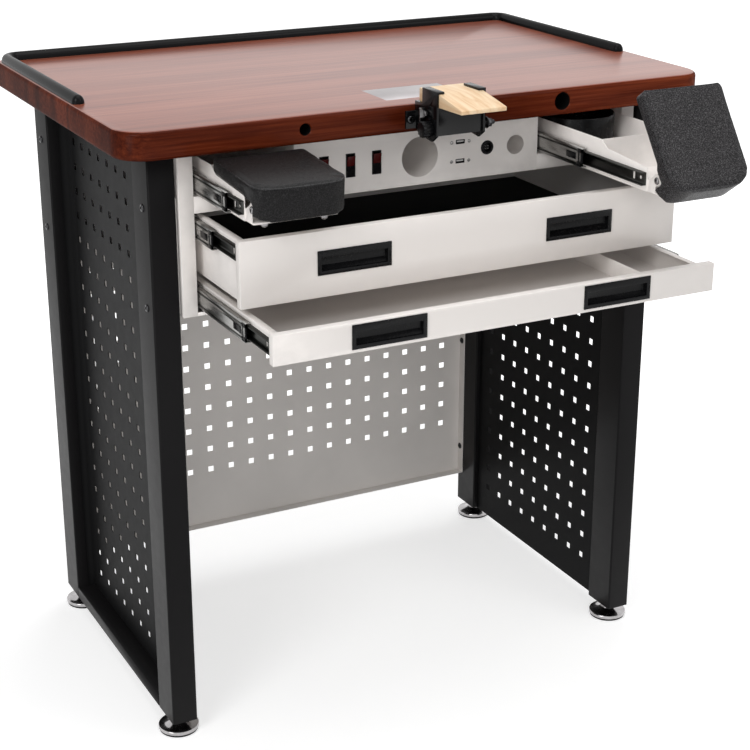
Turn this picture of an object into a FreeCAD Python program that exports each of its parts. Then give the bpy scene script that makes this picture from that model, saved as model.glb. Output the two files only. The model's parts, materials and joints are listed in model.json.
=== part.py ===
import FreeCAD, Part
import math
import os

# Jewellers workbench. Millimetres, X to the right, Y to the back, Z up from the floor.
# Y is counted from the front plane of the frame while the pieces are made.
# At the end everything moves along Y so that the box round the bench is centred.

V = FreeCAD.Vector

# General
SHEET = 1.2
EASE = 0.3

# Frame. TOP_Z is the worktop's underside, from which the pieces that hang there count down.
FRAME_W = 800.0
FRAME_D = 500.0
TOP_Z = 875.0
FOOT_H = 26.0
LEG_X = 38.0
LEG_Y = 60.0
HALF_W = FRAME_W / 2
LEG_IN = HALF_W - LEG_X
LEG_WALL = 1.5
LEG_ROUND = 3.0
LEG_PLATE = 5.0
RAIL_X = 29.0
RAIL_Z = 18.0
PANEL_X = HALF_W - RAIL_X

# Perforated panels
HOLE = 10.0
PITCH = 38.0
HOLE_EDGE = 30.0
SIDE_TOP_EDGE = 20.0
SIDE_FIRST_Z = FOOT_H + 56.0
SIDE_FLANGE = 12.0
BACK_BOTTOM_Z = FOOT_H + 56.0
BACK_FIRST_Z = BACK_BOTTOM_Z + 101.0
BACK_RETURN = 18.0
RETURN_SCREW_LOW = 51.0
RETURN_SCREW_HIGH = 95.7

# Screws
SCREW_D = 5.0
HEAD_D = 11.0
HEAD_H = 2.4
SMALL_SIDES = 12
FOOT_SIDES = 24
LEG_SCREW_Y = (23.0, FRAME_D - 28.0)
LEG_SCREW_Z = (TOP_Z - 216.0, TOP_Z - 78.0)

# Feet
FOOT_D = 60.0
FOOT_PAD_D = 58.0
FOOT_PAD_H = 4.0
FOOT_RIM_H = 5.0
FOOT_NECK_D = 22.0
STUD_D = 10.0
STUD_FIT = 0.05
STUD_SPARE = 16.0
FOOT_TRAVEL = 15.0
STUD_TOP = FOOT_H + LEG_PLATE + STUD_SPARE + FOOT_TRAVEL

# Worktop
WORKTOP_W = 900.0
WORKTOP_FRONT = -52.0
WORKTOP_BACK = FRAME_D + 28.0
WORKTOP_T = 38.0
TABLE_Z = TOP_Z + WORKTOP_T
FRONT_ROUND = 45.0
BACK_ROUND = 20.0
EDGE_BEVEL = 4.0
BORE_X = 198.5
BORE_Z = TABLE_Z - 18.5
BORE_LEFT_D = 16.0
BORE_RIGHT_D = 25.0
BORE_DEPTH = 60.0
PLATE_W = 120.0
PLATE_FRONT = WORKTOP_FRONT + 38.0
PLATE_BACK = PLATE_FRONT + 75.0
PLATE_T = 5.0
LIP_W = 18.0
LIP_H = 12.0
LIP_SEAT = 1.0
LIP_INSET = 5.0
LIP_FRONT = 150.0

# Cabinet
CABINET_OUT = LEG_IN - 4.0
CABINET_IN = CABINET_OUT - 21.0
CABINET_BOTTOM = TOP_Z - 230.3
CABINET_BACK = FRAME_D - 30.0
CABINET_LIP = 5.0
FASCIA_BOTTOM = TOP_Z - 88.5
TRAY_BAY = 145.0
PARTITION = CABINET_IN - TRAY_BAY
PARTITION_BACK = CABINET_BACK - 100.0
UTILITY_BACK = 168.0
ARM_RAIL_TOP = TOP_Z - 66.2
SPACER_EDGE = 10.0
ARM_RAIL_DEPTH = 30.0
TOP_FLANGE = 12.0

# Switches and sockets, spread over the fascia in steps
FITTING_STEP = PARTITION / 4.8
ROCKER_X = (-3.7 * FITTING_STEP, -2.7 * FITTING_STEP, -1.7 * FITTING_STEP)
FITTING_Z = TOP_Z - 49.0
SWITCH_W = 14.0
SWITCH_H = 33.0
SWITCH_BODY_W = 13.0
SWITCH_BODY_H = 31.4
SWITCH_DEPTH = 20.0
SWITCH_RIM = 1.5
TERMINAL_STEP = 10.0
TERMINAL_W = 6.2
TERMINAL_T = 0.8
TERMINAL_L = 8.0
ROCKER_W = 10.8
ROCKER_H = 29.0
ROCKER_WELL_W = ROCKER_W + 2 * EASE
ROCKER_WELL_H = ROCKER_H + 1.4
ROCKER_AXLE_Y = 4.0
ROCKER_AXLE_D = 2.0
ROCKER_TILT = 7.0
ROCKER_PROUD = 4.2
ROCKER_WAIST = 1.8
ROCKER_SKIRT = 1.0
ROCKER_TAPER = 2.0
ROCKER_KEEL = 4.0
ROCKER_KEEL_H = 6.0
CUP_D = 57.0
CUP_DEPTH = 150.0
SLOT_X = 1.6125 * FITTING_STEP
SLOT_Z = (TOP_Z - 62.0, TOP_Z - 34.5)
SLOT_W = 14.7
SLOT_H = 6.5
SLOT_DEPTH = 14.0
SLOT_MOUTH = 12.0
SLOT_WALL = 0.6
SLOT_TONGUE_W = 10.8
SLOT_TONGUE_T = 1.2
SLOT_SCREW_X = 14.0
BOARD_T = 2.0
BOARD_EDGE = 4.0
BOARD_RIM = 2.0
SMALL_HEAD_H = 1.0
ROUND_SOCKET_X = 2.7 * FITTING_STEP
ROUND_SOCKET_Z = TOP_Z - 47.0
ROUND_SOCKET_D = 20.0
SOCKET_RIM = 2.0
SOCKET_GAP = 0.5
SOCKET_WALL = 1.5
SOCKET_BARREL_L = 18.0
SOCKET_MOUTH_L = 16.0
TOOL_X = 3.875 * FITTING_STEP
TOOL_Z = TOP_Z - 48.0
TOOL_D = 28.0
TOOL_DEPTH = 120.0
TUBE_WALL = 1.5
INLET_X = -250.0
INLET_Z = TOP_Z - 115.0
INLET_W = 28.0
INLET_H = 21.0
INLET_L = 26.0
INLET_FLANGE = (50.0, 30.0, 2.5)
INLET_MOUTH = (24.0, 16.0, 14.0)
INLET_PINS = ((-7.0, -2.0), (0.0, 2.0), (7.0, -2.0))
INLET_PIN = (2.0, 4.0, 15.0)

# Slides
SLIDE_T = 12.7
OUTER_H = 35.0
MIDDLE_H = 26.5
INNER_H = 17.5
MIDDLE_FACE = 2.0
OUTER_LIP = 10.5
MIDDLE_LIP = 9.6
INNER_LIP = 5.0
CAGE_L = 90.0
SLIDE_FRONT = 13.0
DRAWER_SLIDE_L = 400.0
TRAY_SLIDE_L = 350.0
MIDDLE_SHORT = 15.0
SLIDE_HOLE = 5.0
SLIDE_HOLE_AT = 11.5
SLIDE_SLOT = (24.0, 5.0, 10.0)
MIDDLE_WINDOW = (22.0, 14.0, 7.0)
UPPER_SLIDE_Z = TOP_Z - 111.5
LOWER_SLIDE_Z = TOP_Z - 206.0
TRAY_SLIDE_Z = TOP_Z - 48.5

# How far each runner stands out in the rest pose
UPPER_OUT = 142.7
LOWER_OUT = 240.7
LEFT_OUT = 152.0
RIGHT_OUT = 261.0
UPPER_MIDDLE_OUT = 67.0
LOWER_MIDDLE_OUT = 171.0
LEFT_MIDDLE_OUT = 118.0
RIGHT_MIDDLE_OUT = 125.0

# Drawers
FRONT_HALF_W = CABINET_IN - 3.0
FRONT_T = 12.0
UPPER_FRONT_Z = (TOP_Z - 179.5, TOP_Z - 91.0)
LOWER_FRONT_Z = (TOP_Z - 224.0, TOP_Z - 184.0)
BODY_TOP_STEP = 6.0
BODY_BOTTOM_STEP = 2.0
BODY_FLANGE = 9.3
LINER_T = 3.0
DIVIDER_X = FRONT_HALF_W - 94.0
HANDLE_X = FRONT_HALF_W - 161.0
HANDLE_W = 107.0
HANDLE_H = 33.0
HANDLE_RIM = 1.5
HANDLE_BORDER = 4.0
HANDLE_DEPTH = 10.0
HANDLE_GRIP = 4.0
HANDLE_SLOPE = 6.0
HANDLE_TURN = 2.0
UPPER_HANDLE_Z = TOP_Z - 133.5
LOWER_HANDLE_Z = TOP_Z - 203.0

# Armrest trays
TRAY_FLOOR = TOP_Z - 65.5
TRAY_LIP_Z = TOP_Z - 49.0
TRAY_LOW_Z = (TOP_Z - 33.2, TOP_Z - 26.8)
TRAY_LOW_L = 93.0
TRAY_KNEE_L = 107.0
TRAY_TOP_Z = TOP_Z - 17.0
TONGUE = 22.8
TONGUE_T = 2.0
EAR_X = 55.8
EAR_T = 2.0
EAR_R = 8.5
EAR_BACK = 3.0
DOME_X = 41.0
DOME_AHEAD = 17.5
DOME_D = 9.5
DOME_H = 6.0

# Armrest pads
PIVOT_AHEAD = 19.8
PIVOT_Z = TOP_Z - 46.8
PIVOT_D = 6.0
PIVOT_FIT = 0.05
PAD_L = 146.0
PAD_W = 131.8
PAD_T = 24.0
NOSE_L = 22.0
NOSE_H = 42.0
PAD_PIVOT_Y = 31.9
PAD_PIVOT_Z = 35.8
PAD_CROWN = 2.5
PAD_ROUND = 22.0
PAD_DRAWN_IN = 8.0
LEFT_TILT = 3.94
RIGHT_TILT = 55.3
BRACKET_X = 53.0
BRACKET_T = 2.0
BRACKET_FRONT = 24.5
BRACKET_L = 104.0
LUG_R = 8.0

# Parts dish
DISH_D = 112.0
DISH_Y = 12.0
DISH_TOP = TOP_Z - 13.0
DISH_FLOOR = TOP_Z - 39.0
DISH_WALL = 2.4
DISH_HUB_D = 26.0
DISH_HUB_STEP = 4.0
DISH_RIB_STEP = 8.0
DISH_RIBS = 4
DISH_TURN = 15.0

# Bench pin and its bracket
PIN_HALF_W = 34.0
PIN_BACK = WORKTOP_FRONT - 6.0
PIN_TOP = TABLE_Z + 23.0
PIN_BOTTOM = TABLE_Z + 5.0
PIN_KNEE = WORKTOP_FRONT - 58.0
PIN_TIP = WORKTOP_FRONT - 119.0
PIN_TIP_Z = (TABLE_Z + 6.5, TABLE_Z + 12.0)
PIN_SIDE_EASE = 0.2
CHEEK_T = 3.0
CHEEK_Y = (WORKTOP_FRONT - 60.0, WORKTOP_FRONT - 20.0)
CHEEK_BOTTOM = TABLE_Z - 39.0
HOOK = 8.0
WEB_Y = WORKTOP_FRONT - 53.0
WEB_BOTTOM = TABLE_Z - 34.0
FOOT_PLATE_X = 52.0
FOOT_PLATE_Z = (TABLE_Z - 32.0, TABLE_Z - 8.0)
CLAMP_Y = WORKTOP_FRONT - 43.0
CLAMP_Z = TABLE_Z - 25.0
CLAMP_D = 6.0
CLAMP_FIT = 0.05
KNOB_D = 22.0
KNOB_L = 14.0
KNOB_FLUTES = 12
KNOB_FLUTE = 1.5
THUMB_Y = WORKTOP_FRONT - 34.0
THUMB_Z = TABLE_Z - 7.0
THUMB_GRIP = 6.0
THUMB_HUB = (10.0, 5.0)
THUMB_WING = (9.0, 3.0, 18.0)

SIDES = (-1, 1)
AXES = {"x": V(1, 0, 0), "y": V(0, 1, 0), "z": V(0, 0, 1)}


# Drawing helpers
def box(x0, x1, y0, y1, z0, z1):
    corner = V(min(x0, x1), min(y0, y1), min(z0, z1))
    return Part.makeBox(abs(x1 - x0), abs(y1 - y0), abs(z1 - z0), corner)


def rod(axis, d, length, x, y, z):
    return Part.makeCylinder(d / 2, length, V(x, y, z), AXES[axis])


def point(axis, at, a, b):
    if axis == "x":
        return V(at, a, b)
    if axis == "y":
        return V(a, at, b)
    return V(a, b, at)


def outline(axis, at, corners):
    # each corner is (a, b) or (a, b, rounding radius)
    flat = [V(c[0], c[1], 0) for c in corners]
    stations = []
    for i, corner in enumerate(corners):
        here = flat[i]
        radius = corner[2] if len(corner) > 2 else 0.0
        if radius == 0.0:
            stations.append((here, None, here))
            continue
        before = (flat[i - 1] - here).normalize()
        after = (flat[(i + 1) % len(flat)] - here).normalize()
        half = before.getAngle(after) / 2
        cut = radius / math.tan(half)
        middle = (before + after).normalize() * (radius / math.sin(half) - radius)
        stations.append((here + before * cut, here + middle, here + after * cut))
    edges = []
    for i, (start, middle, end) in enumerate(stations):
        if middle is not None:
            arc = [point(axis, at, p.x, p.y) for p in (start, middle, end)]
            edges.append(Part.Arc(*arc).toShape())
        ahead = stations[(i + 1) % len(stations)][0]
        if (ahead - end).Length > 1e-6:
            line = [point(axis, at, p.x, p.y) for p in (end, ahead)]
            edges.append(Part.makeLine(*line))
    return Part.Wire(edges)


def rectangle(a0, a1, b0, b1, radius=0.0):
    return [(a0, b0, radius), (a1, b0, radius), (a1, b1, radius), (a0, b1, radius)]


def ring(axis, at, a, b, d):
    return Part.Wire([Part.makeCircle(d / 2, point(axis, at, a, b), AXES[axis])])


def plate(axis, at, thick, wires):
    face = Part.makeFace(wires, "Part::FaceMakerBullseye")
    return face.extrude(AXES[axis] * thick)


def prism(axis, start, end, corners):
    return plate(axis, start, end - start, [outline(axis, start, corners)])


def union(shapes):
    return shapes[0].multiFuse(shapes[1:]).removeSplitter()


def less(shape, cutters):
    return shape.cut(Part.makeCompound(cutters))


def mirrored(shape):
    return shape.mirror(V(0, 0, 0), AXES["x"])


def sided(shape, side):
    return shape if side > 0 else mirrored(shape)


def both(shape):
    return [mirrored(shape), shape]


def turned(shape, y, z, degrees):
    shape = shape.copy()
    shape.rotate(V(0, y, z), AXES["x"], degrees)
    return shape


def polygon(axis, d, x, y, z, sides):
    centre = {"x": (y, z), "y": (x, z), "z": (x, y)}[axis]
    steps = [2 * math.pi * k / sides for k in range(sides)]
    return [(centre[0] + d / 2 * math.cos(t), centre[1] + d / 2 * math.sin(t)) for t in steps]


def many_sided(axis, d, length, x, y, z, sides):
    # repeated small round pieces are prisms, which keeps the whole bench light
    at = {"x": x, "y": y, "z": z}[axis]
    return prism(axis, at, at + length, polygon(axis, d, x, y, z, sides))


def tapered(d0, d1, x, y, z0, z1, sides):
    ends = [outline("z", z, polygon("z", d, x, y, z, sides)) for d, z in ((d0, z0), (d1, z1))]
    return Part.makeLoft(ends, True, True)


def square_grid(axis, at, columns, rows):
    wires = []
    for a in columns:
        for b in rows:
            hole = rectangle(a - HOLE / 2, a + HOLE / 2, b - HOLE / 2, b + HOLE / 2)
            wires.append(outline(axis, at, hole))
    return wires


# Welded side frame, made for the right side: two legs with foot plates and two rails
def leg(y0):
    y1 = y0 + LEG_Y
    skin = outline("z", FOOT_H, rectangle(LEG_IN, HALF_W, y0, y1, LEG_ROUND))
    hollow = rectangle(LEG_IN + LEG_WALL, HALF_W - LEG_WALL, y0 + LEG_WALL, y1 - LEG_WALL)
    tube = plate("z", FOOT_H, TOP_Z - FOOT_H, [skin, outline("z", FOOT_H, hollow)])
    floor = box(LEG_IN + LEG_WALL, HALF_W - LEG_WALL, y0 + LEG_WALL, y1 - LEG_WALL,
                FOOT_H, FOOT_H + LEG_PLATE)
    thread = many_sided("z", STUD_D + 2 * STUD_FIT, LEG_PLATE, HALF_W - LEG_X / 2, y0 + LEG_Y / 2,
                        FOOT_H, SMALL_SIDES)
    return union([tube, floor]).cut(thread)


def rail(z0):
    y0, y1 = LEG_Y, FRAME_D - LEG_Y
    wires = [
        outline("y", y0, rectangle(PANEL_X, HALF_W, z0, z0 + RAIL_Z)),
        outline("y", y0, rectangle(PANEL_X + LEG_WALL, HALF_W - LEG_WALL,
                                   z0 + LEG_WALL, z0 + RAIL_Z - LEG_WALL)),
    ]
    return plate("y", y0, y1 - y0, wires)


def side_frame(side):
    pieces = [leg(0), leg(FRAME_D - LEG_Y), rail(FOOT_H), rail(TOP_Z - RAIL_Z)]
    return sided(union(pieces), side)


# Perforated sheets, with as many holes as their room takes
def hole_count(room):
    return int((room - HOLE) // PITCH) + 1


def centred(room, middle):
    count = hole_count(room)
    return [middle + PITCH * (k - (count - 1) / 2) for k in range(count)]


def upwards(first, top):
    return [first + PITCH * k for k in range(hole_count(top - first + HOLE / 2))]


def side_panel(side):
    y0, y1 = LEG_Y, FRAME_D - LEG_Y
    columns = centred(y1 - y0 - 2 * HOLE_EDGE, FRAME_D / 2)
    rows = upwards(SIDE_FIRST_Z, TOP_Z - SIDE_TOP_EDGE)
    inner = PANEL_X - SHEET
    wires = [outline("x", inner, rectangle(y0, y1, FOOT_H, TOP_Z))]
    wires += square_grid("x", inner, columns, rows)
    sheet = plate("x", inner, SHEET, wires)
    z0, z1 = FOOT_H + RAIL_Z, TOP_Z - RAIL_Z
    front = box(inner, PANEL_X + SIDE_FLANGE, y0, y0 + SHEET, z0, z1)
    back = box(inner, PANEL_X + SIDE_FLANGE, y1 - SHEET, y1, z0, z1)
    return sided(union([sheet, front, back]), side)


def back_panel():
    face_y = FRAME_D - SHEET
    columns = centred(2 * (LEG_IN - HOLE_EDGE), 0)
    rows = upwards(BACK_FIRST_Z, CABINET_BOTTOM)
    wires = [outline("y", face_y, rectangle(-LEG_IN, LEG_IN, BACK_BOTTOM_Z, TOP_Z))]
    wires += square_grid("y", face_y, columns, rows)
    sheet = plate("y", face_y, SHEET, wires)
    y0 = FRAME_D - BACK_RETURN
    folds = both(box(LEG_IN - SHEET, LEG_IN, y0, FRAME_D, BACK_BOTTOM_Z, TOP_Z))
    folds.append(box(-LEG_IN, LEG_IN, y0, FRAME_D, BACK_BOTTOM_Z, BACK_BOTTOM_Z + SHEET))
    return union([sheet] + folds).cut(inlet_block(EASE, SHEET + BACK_RETURN))


def screw_head(axis, x, y, z):
    return many_sided(axis, HEAD_D, HEAD_H, x, y, z, SMALL_SIDES)


def frame_screws():
    screws = []
    for z in LEG_SCREW_Z:
        for y in LEG_SCREW_Y:
            screws += both(screw_head("x", HALF_W, y, z))
    y = FRAME_D - BACK_RETURN / 2
    low, high = BACK_BOTTOM_Z + RETURN_SCREW_LOW, CABINET_BOTTOM - RETURN_SCREW_HIGH
    for z in (low, (low + high) / 2, high):
        screws += both(screw_head("x", LEG_IN - SHEET - HEAD_H, y, z))
    return screws


# Levelling foot: rubber pad, plated dish and threaded stud
def foot(x, y):
    pad = many_sided("z", FOOT_PAD_D, FOOT_PAD_H, x, y, 0, FOOT_SIDES)
    top = FOOT_PAD_H + FOOT_RIM_H
    rim = many_sided("z", FOOT_D, FOOT_RIM_H, x, y, FOOT_PAD_H, FOOT_SIDES)
    dome = tapered(FOOT_D, FOOT_NECK_D, x, y, top, FOOT_H - EASE, FOOT_SIDES)
    stud = many_sided("z", STUD_D, STUD_TOP - top, x, y, top, SMALL_SIDES)
    return [pad, union([rim, dome, stud])]


# Worktop with edge lip and inlaid steel plate
def worktop():
    half = WORKTOP_W / 2
    plan = [(-half, WORKTOP_FRONT, FRONT_ROUND), (half, WORKTOP_FRONT, FRONT_ROUND),
            (half, WORKTOP_BACK, BACK_ROUND), (-half, WORKTOP_BACK, BACK_ROUND)]
    slab = prism("z", TOP_Z, TABLE_Z, plan)
    rims = [e for e in slab.Edges if abs(e.BoundBox.ZMin - e.BoundBox.ZMax) < 1e-3]
    slab = slab.makeChamfer(EDGE_BEVEL, rims)
    cutters = [plate_block(), lip_seat()]
    for x, d in ((-BORE_X, BORE_LEFT_D), (BORE_X, BORE_RIGHT_D)):
        cutters.append(rod("y", d, BORE_DEPTH, x, WORKTOP_FRONT, BORE_Z))
    return less(slab, cutters)


def plate_block():
    half = PLATE_W / 2
    return box(-half, half, PLATE_FRONT, PLATE_BACK, TABLE_Z - PLATE_T, TABLE_Z)


def lip_path():
    x = WORKTOP_W / 2 - LIP_INSET - LIP_W / 2
    y = WORKTOP_BACK - LIP_INSET - LIP_W / 2
    turn = BACK_ROUND
    bow = math.cos(math.radians(45)) * turn
    path = Part.Wire([
        Part.makeLine(V(-x, LIP_FRONT, TABLE_Z), V(-x, y - turn, TABLE_Z)),
        Part.Arc(V(-x, y - turn, TABLE_Z), V(-x + turn - bow, y - turn + bow, TABLE_Z),
                 V(-x + turn, y, TABLE_Z)).toShape(),
        Part.makeLine(V(-x + turn, y, TABLE_Z), V(x - turn, y, TABLE_Z)),
        Part.Arc(V(x - turn, y, TABLE_Z), V(x - turn + bow, y - turn + bow, TABLE_Z),
                 V(x, y - turn, TABLE_Z)).toShape(),
        Part.makeLine(V(x, y - turn, TABLE_Z), V(x, LIP_FRONT, TABLE_Z)),
    ])
    return path, -x


def lip_seat():
    path, x = lip_path()
    half = LIP_W / 2
    section = outline("y", LIP_FRONT, rectangle(x - half, x + half, TABLE_Z - LIP_SEAT, TABLE_Z + LIP_H))
    return path.makePipeShell([section], True, False)


def edge_lip():
    path, x = lip_path()
    half = LIP_W / 2
    low, shoulder, crest = TABLE_Z - LIP_SEAT, TABLE_Z + LIP_H / 2, TABLE_Z + LIP_H
    section = outline("y", LIP_FRONT, [(x - half, low), (x + half, low), (x + half, shoulder),
                                       (x + half / 2, crest), (x - half / 2, crest), (x - half, shoulder)])
    return path.makePipeShell([section], True, False)


# Cabinet under the worktop, sides made for the right: hollow folded walls, open at the back
def cabinet_side(side):
    skin = box(CABINET_IN, CABINET_OUT, 0, CABINET_BACK, CABINET_BOTTOM, TOP_Z)
    hollow = box(CABINET_IN + SHEET, CABINET_OUT - SHEET, SHEET, CABINET_BACK,
                 CABINET_BOTTOM + SHEET, TOP_Z - SHEET)
    z0, z1 = LEG_SCREW_Z[0] - HEAD_D, LEG_SCREW_Z[1] + HEAD_D
    front = box(CABINET_OUT, LEG_IN, SPACER_EDGE, LEG_Y - SPACER_EDGE, z0, z1)
    back = box(CABINET_OUT - SHEET, LEG_IN, FRAME_D - LEG_Y + SHEET, FRAME_D - BACK_RETURN - EASE, z0, z1)
    return sided(union([skin.cut(hollow), front, back]), side)


def cabinet_back():
    y1 = CABINET_BACK + SHEET
    half = CABINET_OUT - SHEET
    sheet = box(-half, half, CABINET_BACK, y1, CABINET_BOTTOM, TOP_Z)
    return sheet.cut(inlet_block(EASE, FRAME_D - CABINET_BACK + SHEET))


def cabinet_floor():
    z1 = CABINET_BOTTOM + SHEET
    top = CABINET_BOTTOM + CABINET_LIP
    pieces = [box(-CABINET_IN, CABINET_IN, 0, CABINET_BACK, CABINET_BOTTOM, z1),
              box(-CABINET_IN, CABINET_IN, 0, SHEET, CABINET_BOTTOM, top)]
    pieces += both(box(CABINET_IN - SHEET, CABINET_IN, 0, CABINET_BACK, CABINET_BOTTOM, top))
    return union(pieces)


def fascia_panel():
    wires = [outline("y", 0, rectangle(-PARTITION, PARTITION, FASCIA_BOTTOM, TOP_Z))]
    for x in ROCKER_X:
        half_w, half_h = SWITCH_BODY_W / 2 + EASE, SWITCH_BODY_H / 2 + EASE
        wires.append(outline("y", 0, rectangle(x - half_w, x + half_w,
                                               FITTING_Z - half_h, FITTING_Z + half_h)))
    wires.append(ring("y", 0, 0, FITTING_Z, CUP_D))
    wires.append(ring("y", 0, TOOL_X, TOOL_Z, TOOL_D))
    barrel_d = ROUND_SOCKET_D - 2 * SOCKET_RIM
    wires.append(ring("y", 0, ROUND_SOCKET_X, ROUND_SOCKET_Z, barrel_d + 2 * SOCKET_GAP))
    for z in SLOT_Z:
        wires.append(outline("y", 0, rectangle(SLOT_X - SLOT_W / 2, SLOT_X + SLOT_W / 2,
                                               z - SLOT_H / 2, z + SLOT_H / 2)))
    return plate("y", 0, SHEET, wires)


def utility_box():
    z1 = FASCIA_BOTTOM + SHEET
    floor = box(-PARTITION, PARTITION, SHEET, UTILITY_BACK, FASCIA_BOTTOM, z1)
    back = box(-PARTITION, PARTITION, UTILITY_BACK - SHEET, UTILITY_BACK, FASCIA_BOTTOM, TOP_Z)
    walls = both(box(PARTITION - SHEET, PARTITION, SHEET, PARTITION_BACK, FASCIA_BOTTOM, TOP_Z))
    flanges = both(box(PARTITION - TOP_FLANGE, PARTITION, SHEET, PARTITION_BACK, TOP_Z - SHEET, TOP_Z))
    return union([floor, back] + walls + flanges)


def armrest_rails():
    web = box(PARTITION, CABINET_IN, 0, SHEET, FASCIA_BOTTOM, ARM_RAIL_TOP)
    low = box(PARTITION, CABINET_IN, 0, ARM_RAIL_DEPTH, FASCIA_BOTTOM, FASCIA_BOTTOM + SHEET)
    high = box(PARTITION, CABINET_IN, 0, ARM_RAIL_DEPTH, ARM_RAIL_TOP - SHEET, ARM_RAIL_TOP)
    return both(union([web, low, high]))


# Switches, sockets and tool tubes behind the fascia
def block(x, z, wide, high, y0, y1):
    return box(x - wide / 2, x + wide / 2, y0, y1, z - high / 2, z + high / 2)


def switch_frame(x):
    rim = block(x, FITTING_Z, SWITCH_W, SWITCH_H, -SWITCH_RIM, 0)
    body = block(x, FITTING_Z, SWITCH_BODY_W, SWITCH_BODY_H, 0, SWITCH_DEPTH)
    well = block(x, FITTING_Z, ROCKER_WELL_W, ROCKER_WELL_H, -SWITCH_RIM, SWITCH_DEPTH - SWITCH_RIM)
    pieces = [rim, body]
    for step in (-TERMINAL_STEP, 0.0, TERMINAL_STEP):
        pieces.append(block(x, FITTING_Z + step, TERMINAL_W, TERMINAL_T, SWITCH_DEPTH,
                            SWITCH_DEPTH + TERMINAL_L))
    bearing = many_sided("x", ROCKER_AXLE_D + 4 * PIVOT_FIT, SWITCH_BODY_W, x - SWITCH_BODY_W / 2,
                         ROCKER_AXLE_Y, FITTING_Z, SMALL_SIDES)
    return less(union(pieces), [well, bearing])


def rocker(x):
    half, axle = ROCKER_H / 2, ROCKER_AXLE_Y
    side = [(-ROCKER_PROUD, FITTING_Z - half), (-ROCKER_WAIST, FITTING_Z), (-ROCKER_PROUD, FITTING_Z + half),
            (axle - ROCKER_SKIRT, FITTING_Z + half - ROCKER_TAPER),
            (axle + ROCKER_KEEL, FITTING_Z + ROCKER_KEEL_H / 2),
            (axle + ROCKER_KEEL, FITTING_Z - ROCKER_KEEL_H / 2),
            (axle - ROCKER_SKIRT, FITTING_Z - half + ROCKER_TAPER)]
    cap = prism("x", x - ROCKER_W / 2, x + ROCKER_W / 2, side)
    pivot = rod("x", ROCKER_AXLE_D, SWITCH_BODY_W, x - SWITCH_BODY_W / 2, axle, FITTING_Z)
    return turned(union([cap, pivot]), axle, FITTING_Z, ROCKER_TILT)


def slot_sockets():
    sockets = []
    wide, high = SLOT_W - 2 * EASE, SLOT_H - 2 * EASE
    for z in SLOT_Z:
        shell = block(SLOT_X, z, wide, high, 0, SLOT_DEPTH)
        mouth = block(SLOT_X, z, wide - 2 * SLOT_WALL, high - 2 * SLOT_WALL, 0, SLOT_MOUTH)
        tongue = block(SLOT_X, z + SLOT_TONGUE_T / 2, SLOT_TONGUE_W, SLOT_TONGUE_T, SHEET, SLOT_MOUTH)
        board = block(SLOT_X, z, 2 * (SLOT_SCREW_X + BOARD_EDGE), high + 2 * BOARD_RIM,
                      SHEET, SHEET + BOARD_T)
        board = board.cut(block(SLOT_X, z, wide, high, 0, SLOT_DEPTH))
        sockets.append(union([shell.cut(mouth), tongue, board]))
    return sockets


def slot_screws():
    screws = []
    for z in SLOT_Z:
        for step in (-SLOT_SCREW_X, SLOT_SCREW_X):
            screws.append(many_sided("y", SCREW_D, SMALL_HEAD_H, SLOT_X + step, -SMALL_HEAD_H, z, SMALL_SIDES))
    return screws


def round_socket():
    x, z, d = ROUND_SOCKET_X, ROUND_SOCKET_Z, ROUND_SOCKET_D
    barrel_d = d - 2 * SOCKET_RIM
    rim = rod("y", d, SOCKET_RIM, x, -SOCKET_RIM, z)
    barrel = rod("y", barrel_d, SOCKET_BARREL_L, x, 0, z)
    mouth = rod("y", barrel_d - 2 * SOCKET_WALL, SOCKET_MOUTH_L, x, -SOCKET_RIM, z)
    return union([rim, barrel]).cut(mouth)


def tool_tubes():
    tubes = []
    for x, z, d, depth in ((0, FITTING_Z, CUP_D, CUP_DEPTH), (TOOL_X, TOOL_Z, TOOL_D, TOOL_DEPTH)):
        skin = rod("y", d + 2 * TUBE_WALL, depth, x, SHEET, z)
        tubes.append(skin.cut(rod("y", d, depth - TUBE_WALL, x, SHEET, z)))
    return tubes


def inlet_block(ease, depth):
    return block(INLET_X, INLET_Z, INLET_W + 2 * ease, INLET_H + 2 * ease, FRAME_D - depth, FRAME_D)


def mains_inlet():
    face = FRAME_D + INLET_FLANGE[2]
    flange = block(INLET_X, INLET_Z, INLET_FLANGE[0], INLET_FLANGE[1], FRAME_D, face)
    body = union([flange, inlet_block(0.0, INLET_L)])
    bottom = FRAME_D - INLET_MOUTH[2]
    mouth = block(INLET_X, INLET_Z, INLET_MOUTH[0], INLET_MOUTH[1], bottom, face)
    pieces = [body.cut(mouth)]
    for x, z in INLET_PINS:
        start = bottom - LINER_T
        pieces.append(block(INLET_X + x, INLET_Z + z, INLET_PIN[0], INLET_PIN[1], start, start + INLET_PIN[2]))
    return union(pieces)


# Telescopic slides. Sections run along Y; depth counts inwards from the fixed wall at x.
def channel(x, way, z, faces, lip, height, y0, length):
    near, far = x + way * faces[0], x + way * faces[1]
    tip = x + way * lip
    web = box(near, far, y0, y0 + length, z - height / 2, z + height / 2)
    top = box(near, tip, y0, y0 + length, z + height / 2 - SHEET, z + height / 2)
    low = box(near, tip, y0, y0 + length, z - height / 2, z - height / 2 + SHEET)
    return [web, top, low]


def ball_rows(x, way, z, lips, inside, outside, y1):
    near, tip = x + way * lips[0], x + way * lips[1]
    rows = []
    for side in SIDES:
        rows.append(box(near, tip, y1 - CAGE_L, y1, z + side * inside, z + side * (outside - EASE)))
    return rows


def outer_member(x, way, z, length):
    return union(channel(x, way, z, (0, SHEET), OUTER_LIP, OUTER_H, SLIDE_FRONT, length))


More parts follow.
